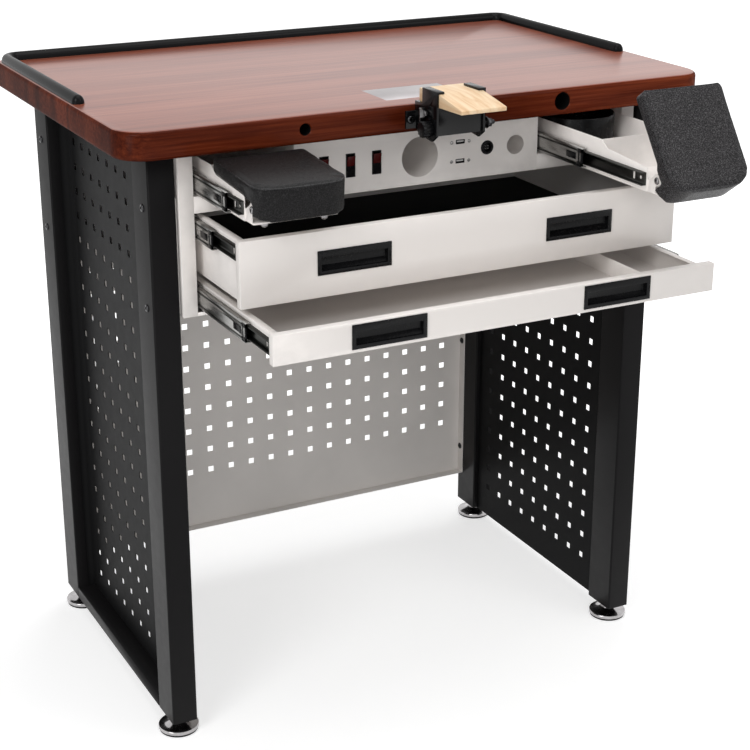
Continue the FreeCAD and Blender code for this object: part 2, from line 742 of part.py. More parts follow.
def middle_member(x, way, z, length, out):
    y0 = SLIDE_FRONT - out
    faces = (MIDDLE_FACE, MIDDLE_FACE + SHEET)
    pieces = channel(x, way, z, faces, MIDDLE_LIP, MIDDLE_H, y0, length - MIDDLE_SHORT)
    pieces += ball_rows(x, way, z, (faces[1], MIDDLE_LIP), MIDDLE_H / 2, OUTER_H / 2 - SHEET,
                        y0 + length - MIDDLE_SHORT)
    at, long, high = MIDDLE_WINDOW
    window = box(x, x + way * SLIDE_T, y0 + at, y0 + at + long, z - high / 2, z + high / 2)
    return union(pieces).cut(window)


def inner_member(x, way, z, y0, length):
    faces = (SLIDE_T, SLIDE_T - SHEET)
    pieces = channel(x, way, z, faces, INNER_LIP, INNER_H, y0, length)
    pieces += ball_rows(x, way, z, (INNER_LIP, MIDDLE_LIP), INNER_H / 2, MIDDLE_H / 2 - SHEET,
                        y0 + length)
    at, long, high = SLIDE_SLOT
    slot = box(x, x + way * SLIDE_T, y0 + at, y0 + at + long, z - high / 2, z + high / 2)
    hole = many_sided("x", SLIDE_HOLE, SLIDE_T, min(x, x + way * SLIDE_T), y0 + SLIDE_HOLE_AT, z, SMALL_SIDES)
    return less(union(pieces), [slot, hole])


def drawer_slides(z, out, middle_out):
    y0 = FRONT_T + EASE - out
    middles = both(middle_member(CABINET_IN, -1, z, DRAWER_SLIDE_L, middle_out))
    inners = both(inner_member(CABINET_IN, -1, z, y0, DRAWER_SLIDE_L))
    return middles, inners


def tray_slides(side, out, middle_out):
    middles, inners = [], []
    for x, way in ((PARTITION, 1), (CABINET_IN, -1)):
        middle = middle_member(x, way, TRAY_SLIDE_Z, TRAY_SLIDE_L, middle_out)
        inner = inner_member(x, way, TRAY_SLIDE_Z, SLIDE_FRONT - out, TRAY_SLIDE_L)
        middles.append(sided(middle, side))
        inners.append(sided(inner, side))
    return middles, inners


def slide_channels():
    members = []
    for z in (UPPER_SLIDE_Z, LOWER_SLIDE_Z):
        members += both(outer_member(CABINET_IN, -1, z, DRAWER_SLIDE_L))
    for x, way in ((PARTITION, 1), (CABINET_IN, -1)):
        members += both(outer_member(x, way, TRAY_SLIDE_Z, TRAY_SLIDE_L))
    return members


# Drawers
def drawer_front(out, heights, handle_z):
    z0, z1 = heights
    y0 = -out
    skin = box(-FRONT_HALF_W, FRONT_HALF_W, y0, y0 + FRONT_T, z0, z1)
    hollow = box(-FRONT_HALF_W + SHEET, FRONT_HALF_W - SHEET, y0 + SHEET, y0 + FRONT_T,
                 z0 + SHEET, z1 - SHEET)
    cutters = [hollow]
    for x in (-HANDLE_X, HANDLE_X):
        half_w = HANDLE_W / 2 - HANDLE_BORDER + EASE
        half_h = HANDLE_H / 2 - HANDLE_BORDER + EASE
        cutters.append(box(x - half_w, x + half_w, y0, y0 + SHEET, handle_z - half_h, handle_z + half_h))
    return less(skin, cutters)


def drawer_body(out, heights):
    half = CABINET_IN - SLIDE_T
    y0 = FRONT_T - out
    y1 = y0 + DRAWER_SLIDE_L
    z0, z1 = heights[0] + BODY_BOTTOM_STEP, heights[1] - BODY_TOP_STEP
    skin = box(-half, half, y0, y1, z0, z1)
    room = box(-half + SHEET, half - SHEET, y0 + SHEET, y1 - SHEET, z0 + SHEET, z1)
    folds = both(box(half - BODY_FLANGE, half, y0, y1, z1 - SHEET, z1))
    return union([skin.cut(room)] + folds)


def handles(out, handle_z):
    pulls = []
    y0 = -out
    for x in (-HANDLE_X, HANDLE_X):
        half_w, half_h = HANDLE_W / 2, HANDLE_H / 2
        rim = box(x - half_w, x + half_w, y0 - HANDLE_RIM, y0, handle_z - half_h, handle_z + half_h)
        half_w, half_h = half_w - HANDLE_BORDER, half_h - HANDLE_BORDER
        cup = box(x - half_w, x + half_w, y0, y0 + HANDLE_DEPTH, handle_z - half_h, handle_z + half_h)
        half_w, half_h = half_w - HANDLE_RIM, half_h - HANDLE_RIM
        face, bottom = y0 - HANDLE_RIM, y0 + HANDLE_DEPTH - HANDLE_RIM
        low, high = handle_z - half_h, handle_z + half_h
        room = [(face, low), (face, high - HANDLE_GRIP), (y0 + HANDLE_TURN, high - HANDLE_GRIP),
                (y0 + 2 * HANDLE_TURN, high), (bottom, high), (bottom, low + HANDLE_SLOPE),
                (y0 + HANDLE_TURN, low)]
        pulls.append(union([rim, cup]).cut(prism("x", x - half_w, x + half_w, room)))
    return pulls


def upper_liner():
    half = CABINET_IN - SLIDE_T - SHEET - EASE
    y0 = FRONT_T - UPPER_OUT + SHEET + EASE
    y1 = y0 + DRAWER_SLIDE_L - 2 * (SHEET + EASE)
    z0 = UPPER_FRONT_Z[0] + BODY_BOTTOM_STEP + SHEET
    return box(-half, half, y0, y1, z0, z0 + LINER_T)


def lower_divider():
    y0 = FRONT_T - LOWER_OUT + SHEET
    y1 = y0 + DRAWER_SLIDE_L - 2 * SHEET
    z0 = LOWER_FRONT_Z[0] + BODY_BOTTOM_STEP + SHEET
    z1 = LOWER_FRONT_Z[1] - BODY_TOP_STEP - BODY_TOP_STEP
    wall = box(DIVIDER_X, DIVIDER_X + SHEET, y0, y1, z0, z1)
    fold = box(DIVIDER_X, DIVIDER_X + TOP_FLANGE, y0, y1, z0, z0 + SHEET)
    return union([wall, fold])


# Armrest tray, made on the right with its front wall at y = front
def tray_width():
    return CABINET_IN - PARTITION - 2 * SLIDE_T


def tray_middle():
    return (CABINET_IN + PARTITION) / 2


def tray_front(out):
    return SLIDE_FRONT - 1 - out


def armrest_tray(side, out):
    y0 = tray_front(out)
    y1 = y0 + TRAY_SLIDE_L
    mid, half = tray_middle(), tray_width() / 2
    floor = TRAY_FLOOR
    profile = [(y0, floor), (y1, floor), (y1, TRAY_TOP_Z), (y0 + TRAY_KNEE_L, TRAY_TOP_Z),
               (y0 + TRAY_LOW_L, TRAY_LOW_Z[1]), (y0, TRAY_LOW_Z[0])]
    skin = prism("x", mid - half, mid + half, profile)
    knee = y0 + TRAY_KNEE_L
    cutters = [
        box(mid - half + SHEET, mid + half - SHEET, y0 + SHEET, knee, floor + SHEET, TRAY_TOP_Z),
        box(mid - half + SHEET, mid + half - SHEET, y0, y0 + SHEET, TRAY_LIP_Z, TRAY_TOP_Z),
        box(mid - half + SHEET, mid + half - SHEET, knee + SHEET, y1 - SHEET, floor + SHEET, TRAY_TOP_Z),
    ]
    pieces = [less(skin, cutters)]
    pieces.append(box(mid - EAR_X - EAR_T, mid + EAR_X + EAR_T, y0 - TONGUE, y0, floor, floor + TONGUE_T))
    pivot_y = y0 - PIVOT_AHEAD
    for way in SIDES:
        start, end = mid + way * EAR_X, mid + way * (EAR_X + EAR_T)
        pieces.append(prism("x", min(start, end), max(start, end), ear_outline(pivot_y, y0)))
    bolt = many_sided("x", PIVOT_D + 2 * EASE, 4 * EAR_X, mid - 2 * EAR_X, pivot_y, PIVOT_Z, SMALL_SIDES)
    return sided(union(pieces).cut(bolt), side)


def ear_outline(pivot_y, wall_y):
    # the front edge stays inside the circle that the cushion's nose clears
    r, z = EAR_R, PIVOT_Z
    slope = r * math.sin(math.radians(45))
    return [(pivot_y + EAR_BACK, TRAY_FLOOR), (wall_y, TRAY_FLOOR), (wall_y, TRAY_LIP_Z),
            (pivot_y + r, z + r / 2), (pivot_y + r / 2, z + r), (pivot_y - r / 2, z + slope),
            (pivot_y - r, z + r / 3), (pivot_y - r, z - r / 3), (pivot_y - slope, z - slope),
            (pivot_y + EAR_BACK, z - r)]


def tray_fasteners(side, out):
    y0 = tray_front(out)
    mid = tray_middle()
    pivot_y = y0 - PIVOT_AHEAD
    seat = EAR_X + EAR_T
    bolt = [rod("x", PIVOT_D, 2 * seat, mid - seat, pivot_y, PIVOT_Z)]
    bolt.append(many_sided("x", HEAD_D - 1, HEAD_H, mid + seat, pivot_y, PIVOT_Z, SMALL_SIDES))
    bolt.append(many_sided("x", HEAD_D - 1, HEAD_H, mid - seat - HEAD_H, pivot_y, PIVOT_Z, SMALL_SIDES))
    parts = [union(bolt)]
    for way in SIDES:
        x, y = mid + way * DOME_X, y0 - DOME_AHEAD
        collar = many_sided("z", DOME_D, DOME_H / 2, x, y, TRAY_FLOOR - DOME_H / 2, SMALL_SIDES)
        crown = tapered(DOME_D / 2, DOME_D, x, y, TRAY_FLOOR - DOME_H, TRAY_FLOOR - DOME_H / 2, SMALL_SIDES)
        parts.append(union([collar, crown]))
    return [sided(p, side) for p in parts]


# Cushioned armrest. Made level: pivot at the given point, front towards -Y.
def level_pad(pivot_y):
    y0 = pivot_y - PAD_PIVOT_Y
    top = PIVOT_Z + PAD_PIVOT_Z
    y1 = y0 + PAD_L
    mid, half = tray_middle(), PAD_W / 2
    sag = PAD_CROWN
    side = [(y0 + 1.5, top - NOSE_H, 7.0), (y0 + NOSE_L, top - NOSE_H, 5.0), (y0 + NOSE_L, top - PAD_T),
            (y1 - 1.5, top - PAD_T, 4.0), (y1, top - 1, 7.0),
            (y1 - PAD_L / 4, top + sag, 60.0), (y0 + PAD_L / 4, top + sag, 60.0), (y0, top - 1, 7.0)]
    length = prism("x", mid - half, mid + half, side)
    foot = half - PAD_DRAWN_IN
    end = [(mid - foot, top - NOSE_H), (mid + foot, top - NOSE_H), (mid + foot, top - PAD_T),
           (mid + half, top - PAD_T / 2, 8.0), (mid + half - 1.0, top - 1, 7.0),
           (mid + PAD_W / 5, top + sag, 60.0), (mid - PAD_W / 5, top + sag, 60.0),
           (mid - half + 1.0, top - 1, 7.0), (mid - half, top - PAD_T / 2, 8.0), (mid - foot, top - PAD_T)]
    width = prism("y", y0 - 1, y1 + 1, end)
    plan = [(mid - half, y0, PAD_ROUND), (mid + half, y0, PAD_ROUND),
            (mid + half, y1, PAD_ROUND / 3), (mid - half, y1, PAD_ROUND / 3)]
    corners = prism("z", top - NOSE_H - 1, top + 2 * sag, plan)
    return length.common(width).common(corners)


def level_bracket(pivot_y):
    y0 = pivot_y - PAD_PIVOT_Y + BRACKET_FRONT
    top = PIVOT_Z + PAD_PIVOT_Z - PAD_T
    mid = tray_middle()
    pieces = [box(mid - BRACKET_X, mid + BRACKET_X, y0, y0 + BRACKET_L, top - BRACKET_T, top)]
    for way in SIDES:
        start, end = mid + way * (BRACKET_X - BRACKET_T), mid + way * BRACKET_X
        cheek = [(pivot_y - LUG_R / 2, PIVOT_Z - LUG_R), (pivot_y + LUG_R / 2, PIVOT_Z - LUG_R),
                 (pivot_y + LUG_R, PIVOT_Z - LUG_R / 2), (pivot_y + 2 * LUG_R, top), (y0, top),
                 (pivot_y - LUG_R, PIVOT_Z - LUG_R / 2)]
        pieces.append(prism("x", min(start, end), max(start, end), cheek))
    bracket = union(pieces)
    bore = rod("x", PIVOT_D + 2 * PIVOT_FIT, 4 * EAR_X, mid - 2 * EAR_X, pivot_y, PIVOT_Z)
    return bracket.cut(bore)


def armrest_pad(side, out, tilt):
    pivot_y = tray_front(out) - PIVOT_AHEAD
    return sided(turned(level_pad(pivot_y), pivot_y, PIVOT_Z, tilt), side)


def pad_bracket(side, out, tilt):
    pivot_y = tray_front(out) - PIVOT_AHEAD
    return sided(turned(level_bracket(pivot_y), pivot_y, PIVOT_Z, tilt), side)


def parts_dish():
    x, y = tray_middle(), DISH_Y
    low = TRAY_FLOOR + SHEET
    wall = rod("z", DISH_D, DISH_TOP - low, x, y, low)
    above = rod("z", DISH_D - 2 * DISH_WALL, DISH_TOP - DISH_FLOOR, x, y, DISH_FLOOR)
    below = rod("z", DISH_D - 2 * DISH_WALL, DISH_FLOOR - DISH_WALL - low, x, y, low)
    pieces = [less(wall, [above, below])]
    pieces.append(rod("z", DISH_HUB_D, DISH_TOP - DISH_HUB_STEP - DISH_FLOOR, x, y, DISH_FLOOR))
    for k in range(DISH_RIBS):
        rib = box(x, x + DISH_D / 2 - DISH_WALL / 2, y - DISH_WALL / 2, y + DISH_WALL / 2,
                  DISH_FLOOR, DISH_TOP - DISH_RIB_STEP)
        rib.rotate(V(x, y, 0), AXES["z"], 360.0 / DISH_RIBS * k + DISH_TURN)
        pieces.append(rib)
    return union(pieces)


# Bench pin in its clamping bracket on the front edge
def bench_pin():
    side = [(PIN_BACK, PIN_BOTTOM), (PIN_BACK, PIN_TOP), (PIN_KNEE, PIN_TOP),
            (PIN_TIP, PIN_TIP_Z[1]), (PIN_TIP, PIN_TIP_Z[0]), (PIN_KNEE, PIN_BOTTOM)]
    half = PIN_HALF_W - PIN_SIDE_EASE
    return prism("x", -half, half, side)


def pin_bracket():
    half = PIN_HALF_W
    front, back = CHEEK_Y
    wall = WORKTOP_FRONT
    pieces = [box(-FOOT_PLATE_X, FOOT_PLATE_X, wall - CHEEK_T, wall, *FOOT_PLATE_Z),
              box(-half, half, WEB_Y, WEB_Y + CHEEK_T, WEB_BOTTOM, PIN_BOTTOM),
              box(-half, half, WEB_Y, wall, PIN_BOTTOM - CHEEK_T, PIN_BOTTOM)]
    cheek = [(wall, FOOT_PLATE_Z[0]), (back, CHEEK_BOTTOM), (WEB_Y + 2 * CHEEK_T, CHEEK_BOTTOM - CHEEK_T),
             (front, CHEEK_BOTTOM + 2 * CHEEK_T), (front, PIN_TOP + CHEEK_T), (back, PIN_TOP + CHEEK_T),
             (back, PIN_BOTTOM), (wall, PIN_BOTTOM)]
    cheeks = both(prism("x", half, half + CHEEK_T, cheek))
    hooks = both(box(half - HOOK, half + CHEEK_T, front, back, PIN_TOP, PIN_TOP + CHEEK_T))
    bracket = union(pieces + cheeks + hooks)
    holes = [rod("x", CLAMP_D + 2 * CLAMP_FIT, 4 * half, -2 * half, CLAMP_Y, CLAMP_Z)]
    holes.append(rod("x", CLAMP_D + 2 * CLAMP_FIT, 2 * half, -2 * half, THUMB_Y, THUMB_Z))
    return less(bracket, holes)


def bracket_screws():
    x = (FOOT_PLATE_X + PIN_HALF_W + CHEEK_T) / 2
    y = WORKTOP_FRONT - CHEEK_T - HEAD_H
    return both(screw_head("y", x, y, sum(FOOT_PLATE_Z) / 2))


def clamp_screw():
    outside = PIN_HALF_W + CHEEK_T + EASE
    left = -outside - KNOB_L
    grip = []
    for k in range(2 * KNOB_FLUTES):
        turn = math.pi * k / KNOB_FLUTES
        r = KNOB_D / 2 - (k % 2) * KNOB_FLUTE
        grip.append((CLAMP_Y + r * math.cos(turn), CLAMP_Z + r * math.sin(turn)))
    knob = prism("x", left, left + KNOB_L, grip)
    spindle = rod("x", CLAMP_D, 2 * outside + 2 * CLAMP_D, -outside - 1, CLAMP_Y, CLAMP_Z)
    nut = many_sided("x", HEAD_D, CLAMP_D, outside, CLAMP_Y, CLAMP_Z, 6)
    return union([knob, spindle, nut])


def thumb_screw():
    outside = -PIN_HALF_W - CHEEK_T - EASE
    tip = -PIN_HALF_W + THUMB_GRIP
    hub_d, hub_l = THUMB_HUB
    long, thick, high = THUMB_WING
    spindle = rod("x", CLAMP_D, tip - outside + hub_l, outside - hub_l, THUMB_Y, THUMB_Z)
    hub = many_sided("x", hub_d, hub_l, outside - hub_l, THUMB_Y, THUMB_Z, SMALL_SIDES)
    end = outside - hub_l / 2
    wings = box(end - long, end, THUMB_Y - thick / 2, THUMB_Y + thick / 2, THUMB_Z - high / 2, THUMB_Z + high / 2)
    return union([spindle, hub, wings])


def all_shapes():
    foot_x = HALF_W - LEG_X / 2
    foot_y = (LEG_Y / 2, FRAME_D - LEG_Y / 2)
    upper_middles, upper_inners = drawer_slides(UPPER_SLIDE_Z, UPPER_OUT, UPPER_MIDDLE_OUT)
    lower_middles, lower_inners = drawer_slides(LOWER_SLIDE_Z, LOWER_OUT, LOWER_MIDDLE_OUT)
    left_middles, left_inners = tray_slides(-1, LEFT_OUT, LEFT_MIDDLE_OUT)
    right_middles, right_inners = tray_slides(1, RIGHT_OUT, RIGHT_MIDDLE_OUT)
    shapes = {
        "left_side_frame": [side_frame(-1)],
        "right_side_frame": [side_frame(1)],
        "left_side_panel": [side_panel(-1)],
        "right_side_panel": [side_panel(1)],
        "back_panel": [back_panel()],
        "frame_screws": frame_screws(),
        "foot_front_left": foot(-foot_x, foot_y[0]),
        "foot_front_right": foot(foot_x, foot_y[0]),
        "foot_back_left": foot(-foot_x, foot_y[1]),
        "foot_back_right": foot(foot_x, foot_y[1]),
        "worktop": [worktop()],
        "edge_lip": [edge_lip()],
        "bench_plate": [plate_block()],
        "cabinet_left_side": [cabinet_side(-1)],
        "cabinet_right_side": [cabinet_side(1)],
        "cabinet_back": [cabinet_back()],
        "cabinet_floor": [cabinet_floor()],
        "fascia_panel": [fascia_panel()],
        "utility_box": [utility_box()],
        "armrest_rails": armrest_rails(),
        "slot_sockets": slot_sockets(),
        "slot_screws": slot_screws(),
        "round_socket": [round_socket()],
        "tool_tubes": tool_tubes(),
        "mains_inlet": [mains_inlet()],
        "switch_frames": [switch_frame(x) for x in ROCKER_X],
        "slide_channels": slide_channels(),
        "upper_slide_middles": upper_middles,
        "upper_slide_inners": upper_inners,
        "upper_drawer_front": [drawer_front(UPPER_OUT, UPPER_FRONT_Z, UPPER_HANDLE_Z)],
        "upper_drawer_body": [drawer_body(UPPER_OUT, UPPER_FRONT_Z)],
        "upper_drawer_liner": [upper_liner()],
        "upper_handles": handles(UPPER_OUT, UPPER_HANDLE_Z),
        "lower_slide_middles": lower_middles,
        "lower_slide_inners": lower_inners,
        "lower_drawer_front": [drawer_front(LOWER_OUT, LOWER_FRONT_Z, LOWER_HANDLE_Z)],
        "lower_drawer_body": [drawer_body(LOWER_OUT, LOWER_FRONT_Z)],
        "lower_drawer_divider": [lower_divider()],
        "lower_handles": handles(LOWER_OUT, LOWER_HANDLE_Z),
        "left_slide_middles": left_middles,
        "left_slide_inners": left_inners,
        "left_armrest_tray": [armrest_tray(-1, LEFT_OUT)],
        "left_tray_fasteners": tray_fasteners(-1, LEFT_OUT),
        "left_pad_bracket": [pad_bracket(-1, LEFT_OUT, LEFT_TILT)],
        "left_armrest_pad": [armrest_pad(-1, LEFT_OUT, LEFT_TILT)],
        "right_slide_middles": right_middles,
        "right_slide_inners": right_inners,
        "right_armrest_tray": [armrest_tray(1, RIGHT_OUT)],
        "right_tray_fasteners": tray_fasteners(1, RIGHT_OUT),
        "right_pad_bracket": [pad_bracket(1, RIGHT_OUT, RIGHT_TILT)],
        "right_armrest_pad": [armrest_pad(1, RIGHT_OUT, RIGHT_TILT)],
        "parts_dish": [parts_dish()],
        "pin_bracket": [pin_bracket()],
        "bracket_screws": bracket_screws(),
        "bench_pin": [bench_pin()],
        "clamp_screw": [clamp_screw()],
        "thumb_screw": [thumb_screw()],
    }
    for number, x in enumerate(ROCKER_X):
        shapes["rocker_%d" % (number + 1)] = [rocker(x)]
    return shapes


def centre_y(shapes):
    everything = Part.makeCompound([s for solids in shapes.values() for s in solids])
    return everything.BoundBox.Center.y


def main():
    os.makedirs("parts", exist_ok=True)
    shapes = all_shapes()
    shift = V(0, -centre_y(shapes), 0)
    for name, solids in shapes.items():
        moved = [s.translated(shift) for s in solids]
        whole = moved[0] if len(moved) == 1 else Part.makeCompound(moved)
        whole.exportStep("parts/%s.step" % name)


main()
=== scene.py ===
import json
import math

import bmesh
import bpy
from mathutils import Matrix, Vector
from mathutils.bvhtree import BVHTree

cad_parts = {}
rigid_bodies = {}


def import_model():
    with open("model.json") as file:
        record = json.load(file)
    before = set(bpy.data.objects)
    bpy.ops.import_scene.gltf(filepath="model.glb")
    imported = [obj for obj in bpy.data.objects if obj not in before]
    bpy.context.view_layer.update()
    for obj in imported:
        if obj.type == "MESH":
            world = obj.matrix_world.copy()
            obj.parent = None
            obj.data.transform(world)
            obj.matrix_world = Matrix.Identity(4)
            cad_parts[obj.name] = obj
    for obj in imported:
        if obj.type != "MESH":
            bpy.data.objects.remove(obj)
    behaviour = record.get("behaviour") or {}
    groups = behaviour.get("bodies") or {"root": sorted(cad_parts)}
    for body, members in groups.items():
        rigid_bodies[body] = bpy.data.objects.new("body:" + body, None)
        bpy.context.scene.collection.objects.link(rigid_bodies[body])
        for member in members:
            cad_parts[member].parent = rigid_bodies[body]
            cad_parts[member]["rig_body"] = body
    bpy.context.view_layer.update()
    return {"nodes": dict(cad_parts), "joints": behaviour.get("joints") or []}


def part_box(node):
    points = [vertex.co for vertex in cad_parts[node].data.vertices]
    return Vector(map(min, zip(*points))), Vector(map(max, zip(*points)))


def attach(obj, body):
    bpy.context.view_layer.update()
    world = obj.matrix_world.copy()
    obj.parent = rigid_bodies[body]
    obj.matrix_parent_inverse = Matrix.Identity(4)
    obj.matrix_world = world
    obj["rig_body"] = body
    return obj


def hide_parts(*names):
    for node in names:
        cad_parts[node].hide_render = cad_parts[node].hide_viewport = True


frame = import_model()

MM = 0.001

# Places read from the frame
BENCH = "bench"
RIGHT_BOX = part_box("right_side_frame")
FRONT_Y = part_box("left_side_frame")[0].y
JOINTS = {j["name"]: j for j in frame["joints"]}

# Camera of the photograph, measured from the frame's front plane
CAMERA_X = -1.1141
CAMERA_Y = FRONT_Y - 2.0277
CAMERA_Z = 1.3787
CAMERA_YAW = 27.24
CAMERA_PITCH = 20.763
FOCAL_PX = 1698.07
IMAGE_PX = 750.0
SENSOR_MM = 36.0

# Worktop
FRONT_ROUND = 45 * MM
BACK_ROUND = 20 * MM
EDGE_ROUND = 6 * MM
ARC_STEPS = 12

# Cushions
LEFT_TILT = 3.94
RIGHT_TILT = 55.3
PAD_BEHIND = 31.9 * MM
PAD_ABOVE = 35.8 * MM
PAD_LENGTH = 146 * MM
PAD_WIDTH = 131.8 * MM
PAD_THICK = 24 * MM
NOSE_DEEP = 42 * MM
NOSE_LONG = 22 * MM
NOSE_DROP = 5 * MM
NOSE_FLAT = 0.7
PAD_CORNERS = (30 * MM, 30 * MM, 6 * MM, 6 * MM)
PAD_TAPER = 8 * MM
PAD_FOOT = 2 * MM
PLAN_BELOW = 9 * MM
PAD_BELT = 17 * MM
PAD_FLARE = 14 * MM
PAD_VOXEL = 2.8 * MM
PAD_SHRINK = 0.8 * MM
PAD_CAP = 0.9 * MM
PIPING_R = 0.9 * MM

# How far a cutting form stands clear of what it cuts
CUT_SPARE = 5 * MM


# Materials
MATERIALS = {}


def feed(tree, node, values):
    # a value is another node's output or a constant
    for key, value in values.items():
        if isinstance(value, bpy.types.NodeSocket):
            tree.links.new(value, node.inputs[key])
        else:
            node.inputs[key].default_value = value


def new_material(name, colour, rough, metal=0.0, gloss=0.5):
    m = bpy.data.materials.new(name)
    m.use_nodes = True
    MATERIALS[name] = m
    tree = m.node_tree
    shader = tree.nodes["Principled BSDF"]
    feed(tree, shader, {"Base Color": (*colour, 1.0), "Roughness": rough, "Metallic": metal,
                        "Specular IOR Level": gloss})
    return tree, shader


def coordinates(tree, stretch=(1, 1, 1)):
    where = tree.nodes.new("ShaderNodeTexCoord")
    mapping = tree.nodes.new("ShaderNodeMapping")
    feed(tree, mapping, {"Scale": stretch, "Vector": where.outputs["Object"]})
    return mapping.outputs["Vector"]


def noise(tree, scale, detail=4.0, rough=0.55, stretch=(1, 1, 1), distortion=0.0):
    node = tree.nodes.new("ShaderNodeTexNoise")
    feed(tree, node, {"Scale": scale, "Detail": detail, "Roughness": rough, "Distortion": distortion,
                      "Vector": coordinates(tree, stretch)})
    return node.outputs["Fac"]


def ramp(tree, factor, stops):
    node = tree.nodes.new("ShaderNodeValToRGB")
    elements = node.color_ramp.elements
    while len(elements) < len(stops):
        elements.new(0.5)
    for element, (at, colour) in zip(elements, stops):
        element.position = at
        element.color = (*colour, 1.0)
    tree.links.new(factor, node.inputs["Fac"])
    return node.outputs["Color"]


def span(tree, factor, low, high, start=0.0, stop=1.0):
    node = tree.nodes.new("ShaderNodeMapRange")
    feed(tree, node, {"Value": factor, "From Min": start, "From Max": stop, "To Min": low, "To Max": high})
    return node.outputs["Result"]


def maths(tree, operation, *values):
    node = tree.nodes.new("ShaderNodeMath")
    node.operation = operation
    feed(tree, node, dict(enumerate(values)))
    return node.outputs[0]


def mixed(tree, blend, factor, one, two):
    node = tree.nodes.new("ShaderNodeMix")
    node.data_type = "RGBA"
    node.blend_type = blend
    feed(tree, node, {"Factor": factor, "A": one, "B": two})
    return node.outputs["Result"]


def set_tint(tree, shader, factor, stops):
    feed(tree, shader, {"Base Color": ramp(tree, factor, stops)})


def set_rough(tree, shader, factor, low, high):
    feed(tree, shader, {"Roughness": span(tree, factor, low, high)})


def add_bump(tree, shader, height, strength, distance, below=None):
    node = tree.nodes.new("ShaderNodeBump")
    feed(tree, node, {"Strength": strength, "Distance": distance, "Height": height})
    if below is not None:
        feed(tree, node, {"Normal": below})
    feed(tree, shader, {"Normal": node.outputs["Normal"]})
    return node.outputs["Normal"]


def scaled(colour, factor):
    return tuple(c * factor for c in colour)


# painted edge highlight: pointiness range, patch size, how much lighter, and how strong
HIGHLIGHT_POINTS = (0.53, 0.64)
HIGHLIGHT_PATCHES = 55.0
HIGHLIGHT_TINT = 1.25
HIGHLIGHT_AMOUNT = 0.5


def painted_edge_highlight(tree, tint, colour):
    # painted highlight: convex edges are painted lighter, in patches
    geometry = tree.nodes.new("ShaderNodeNewGeometry")
    edge = span(tree, geometry.outputs["Pointiness"], 0.0, HIGHLIGHT_AMOUNT, *HIGHLIGHT_POINTS)
    patch = maths(tree, "MULTIPLY", edge, span(tree, noise(tree, HIGHLIGHT_PATCHES), -0.3, 1.6))
    return mixed(tree, "MIX", patch, tint, (*scaled(colour, HIGHLIGHT_TINT), 1.0))


def powder_coat(name, colour, rough, grain=0.12, patchy=0.04, gloss=0.5):
    tree, shader = new_material(name, colour, rough, gloss=gloss)
    cloud = noise(tree, 7.0, detail=3.0)
    tint = ramp(tree, cloud, [(0.35, scaled(colour, 1 - patchy)), (0.65, scaled(colour, 1 + patchy))])
    # the coat's convex edges carry a painted highlight
    tree.links.new(painted_edge_highlight(tree, tint, colour), shader.inputs["Base Color"])
    set_rough(tree, shader, noise(tree, 60.0), rough - 0.05, rough + 0.06)
    add_bump(tree, shader, noise(tree, 1400.0, detail=2.0), grain, 0.0002)


TABLE_STOPS = [(0.34, (0.12, 0.024, 0.012)), (0.46, (0.21, 0.055, 0.031)),
               (0.54, (0.27, 0.078, 0.045)), (0.66, (0.34, 0.115, 0.070))]
EDGE_STOPS = [(0.34, (0.030, 0.004, 0.0015)), (0.46, (0.072, 0.0115, 0.004)),
              (0.54, (0.115, 0.021, 0.0075)), (0.66, (0.18, 0.040, 0.014))]
BOARD_STOPS = [(0.36, (0.35, 0.3, 0.3)), (0.42, (0.8, 0.78, 0.78)), (0.52, (1.1, 1.1, 1.1)),
               (0.58, (0.55, 0.5, 0.5)), (0.64, (1.3, 1.3, 1.3))]
PIN_STOPS = [(0.30, (0.58, 0.35, 0.18)), (0.44, (0.71, 0.49, 0.29)), (0.56, (0.77, 0.58, 0.38)),
             (0.72, (0.82, 0.65, 0.46))]
PLANK_SHARE = 0.45
STREAK_SHARE = 0.55
WOOD_COAT_IOR = 1.4


def wood(name, stops, gloss, coat, coat_rough, boards, scale=1.0):
    tree, shader = new_material(name, stops[1][1], 0.3, gloss=gloss)
    plank = noise(tree, 1.0, detail=3.0, stretch=(0.9, 14.0, 9.0), distortion=0.6)
    streak = noise(tree, scale, detail=8.0, rough=0.72, stretch=(3.0, 130.0, 110.0), distortion=0.3)
    grain = maths(tree, "MULTIPLY_ADD", streak, STREAK_SHARE, maths(tree, "MULTIPLY", plank, PLANK_SHARE))
    # boards glued side by side differ in depth of colour, which shows on the end grain
    board = ramp(tree, noise(tree, 1.0, detail=1.0, stretch=(0.4, 11.0, 0.4)), BOARD_STOPS)
    tint = mixed(tree, "MULTIPLY", boards, ramp(tree, grain, stops), board)
    tree.links.new(tint, shader.inputs["Base Color"])
    pores = noise(tree, 1.0, detail=6.0, rough=0.75, stretch=(60.0, 1100.0, 1100.0))
    add_bump(tree, shader, pores, 0.12, 0.0003)
    feed(tree, shader, {"Coat Weight": coat, "Coat IOR": WOOD_COAT_IOR, "Coat Roughness": coat_rough})


def pin_wood():
    tree, shader = new_material("pin_wood", PIN_STOPS[-1][1], 0.5)
    grain = noise(tree, 1.0, detail=7.0, rough=0.62, stretch=(110.0, 9.0, 60.0), distortion=0.5)
    set_tint(tree, shader, grain, PIN_STOPS)
    fibre = noise(tree, 1.0, detail=6.0, stretch=(900.0, 40.0, 900.0))
    add_bump(tree, shader, fibre, 0.18, 0.0003)


LEATHER_CELLS = 430.0
LEATHER_SPECKS = 640.0
SPECK_POINTS = (0.32, 0.5, 0.68)


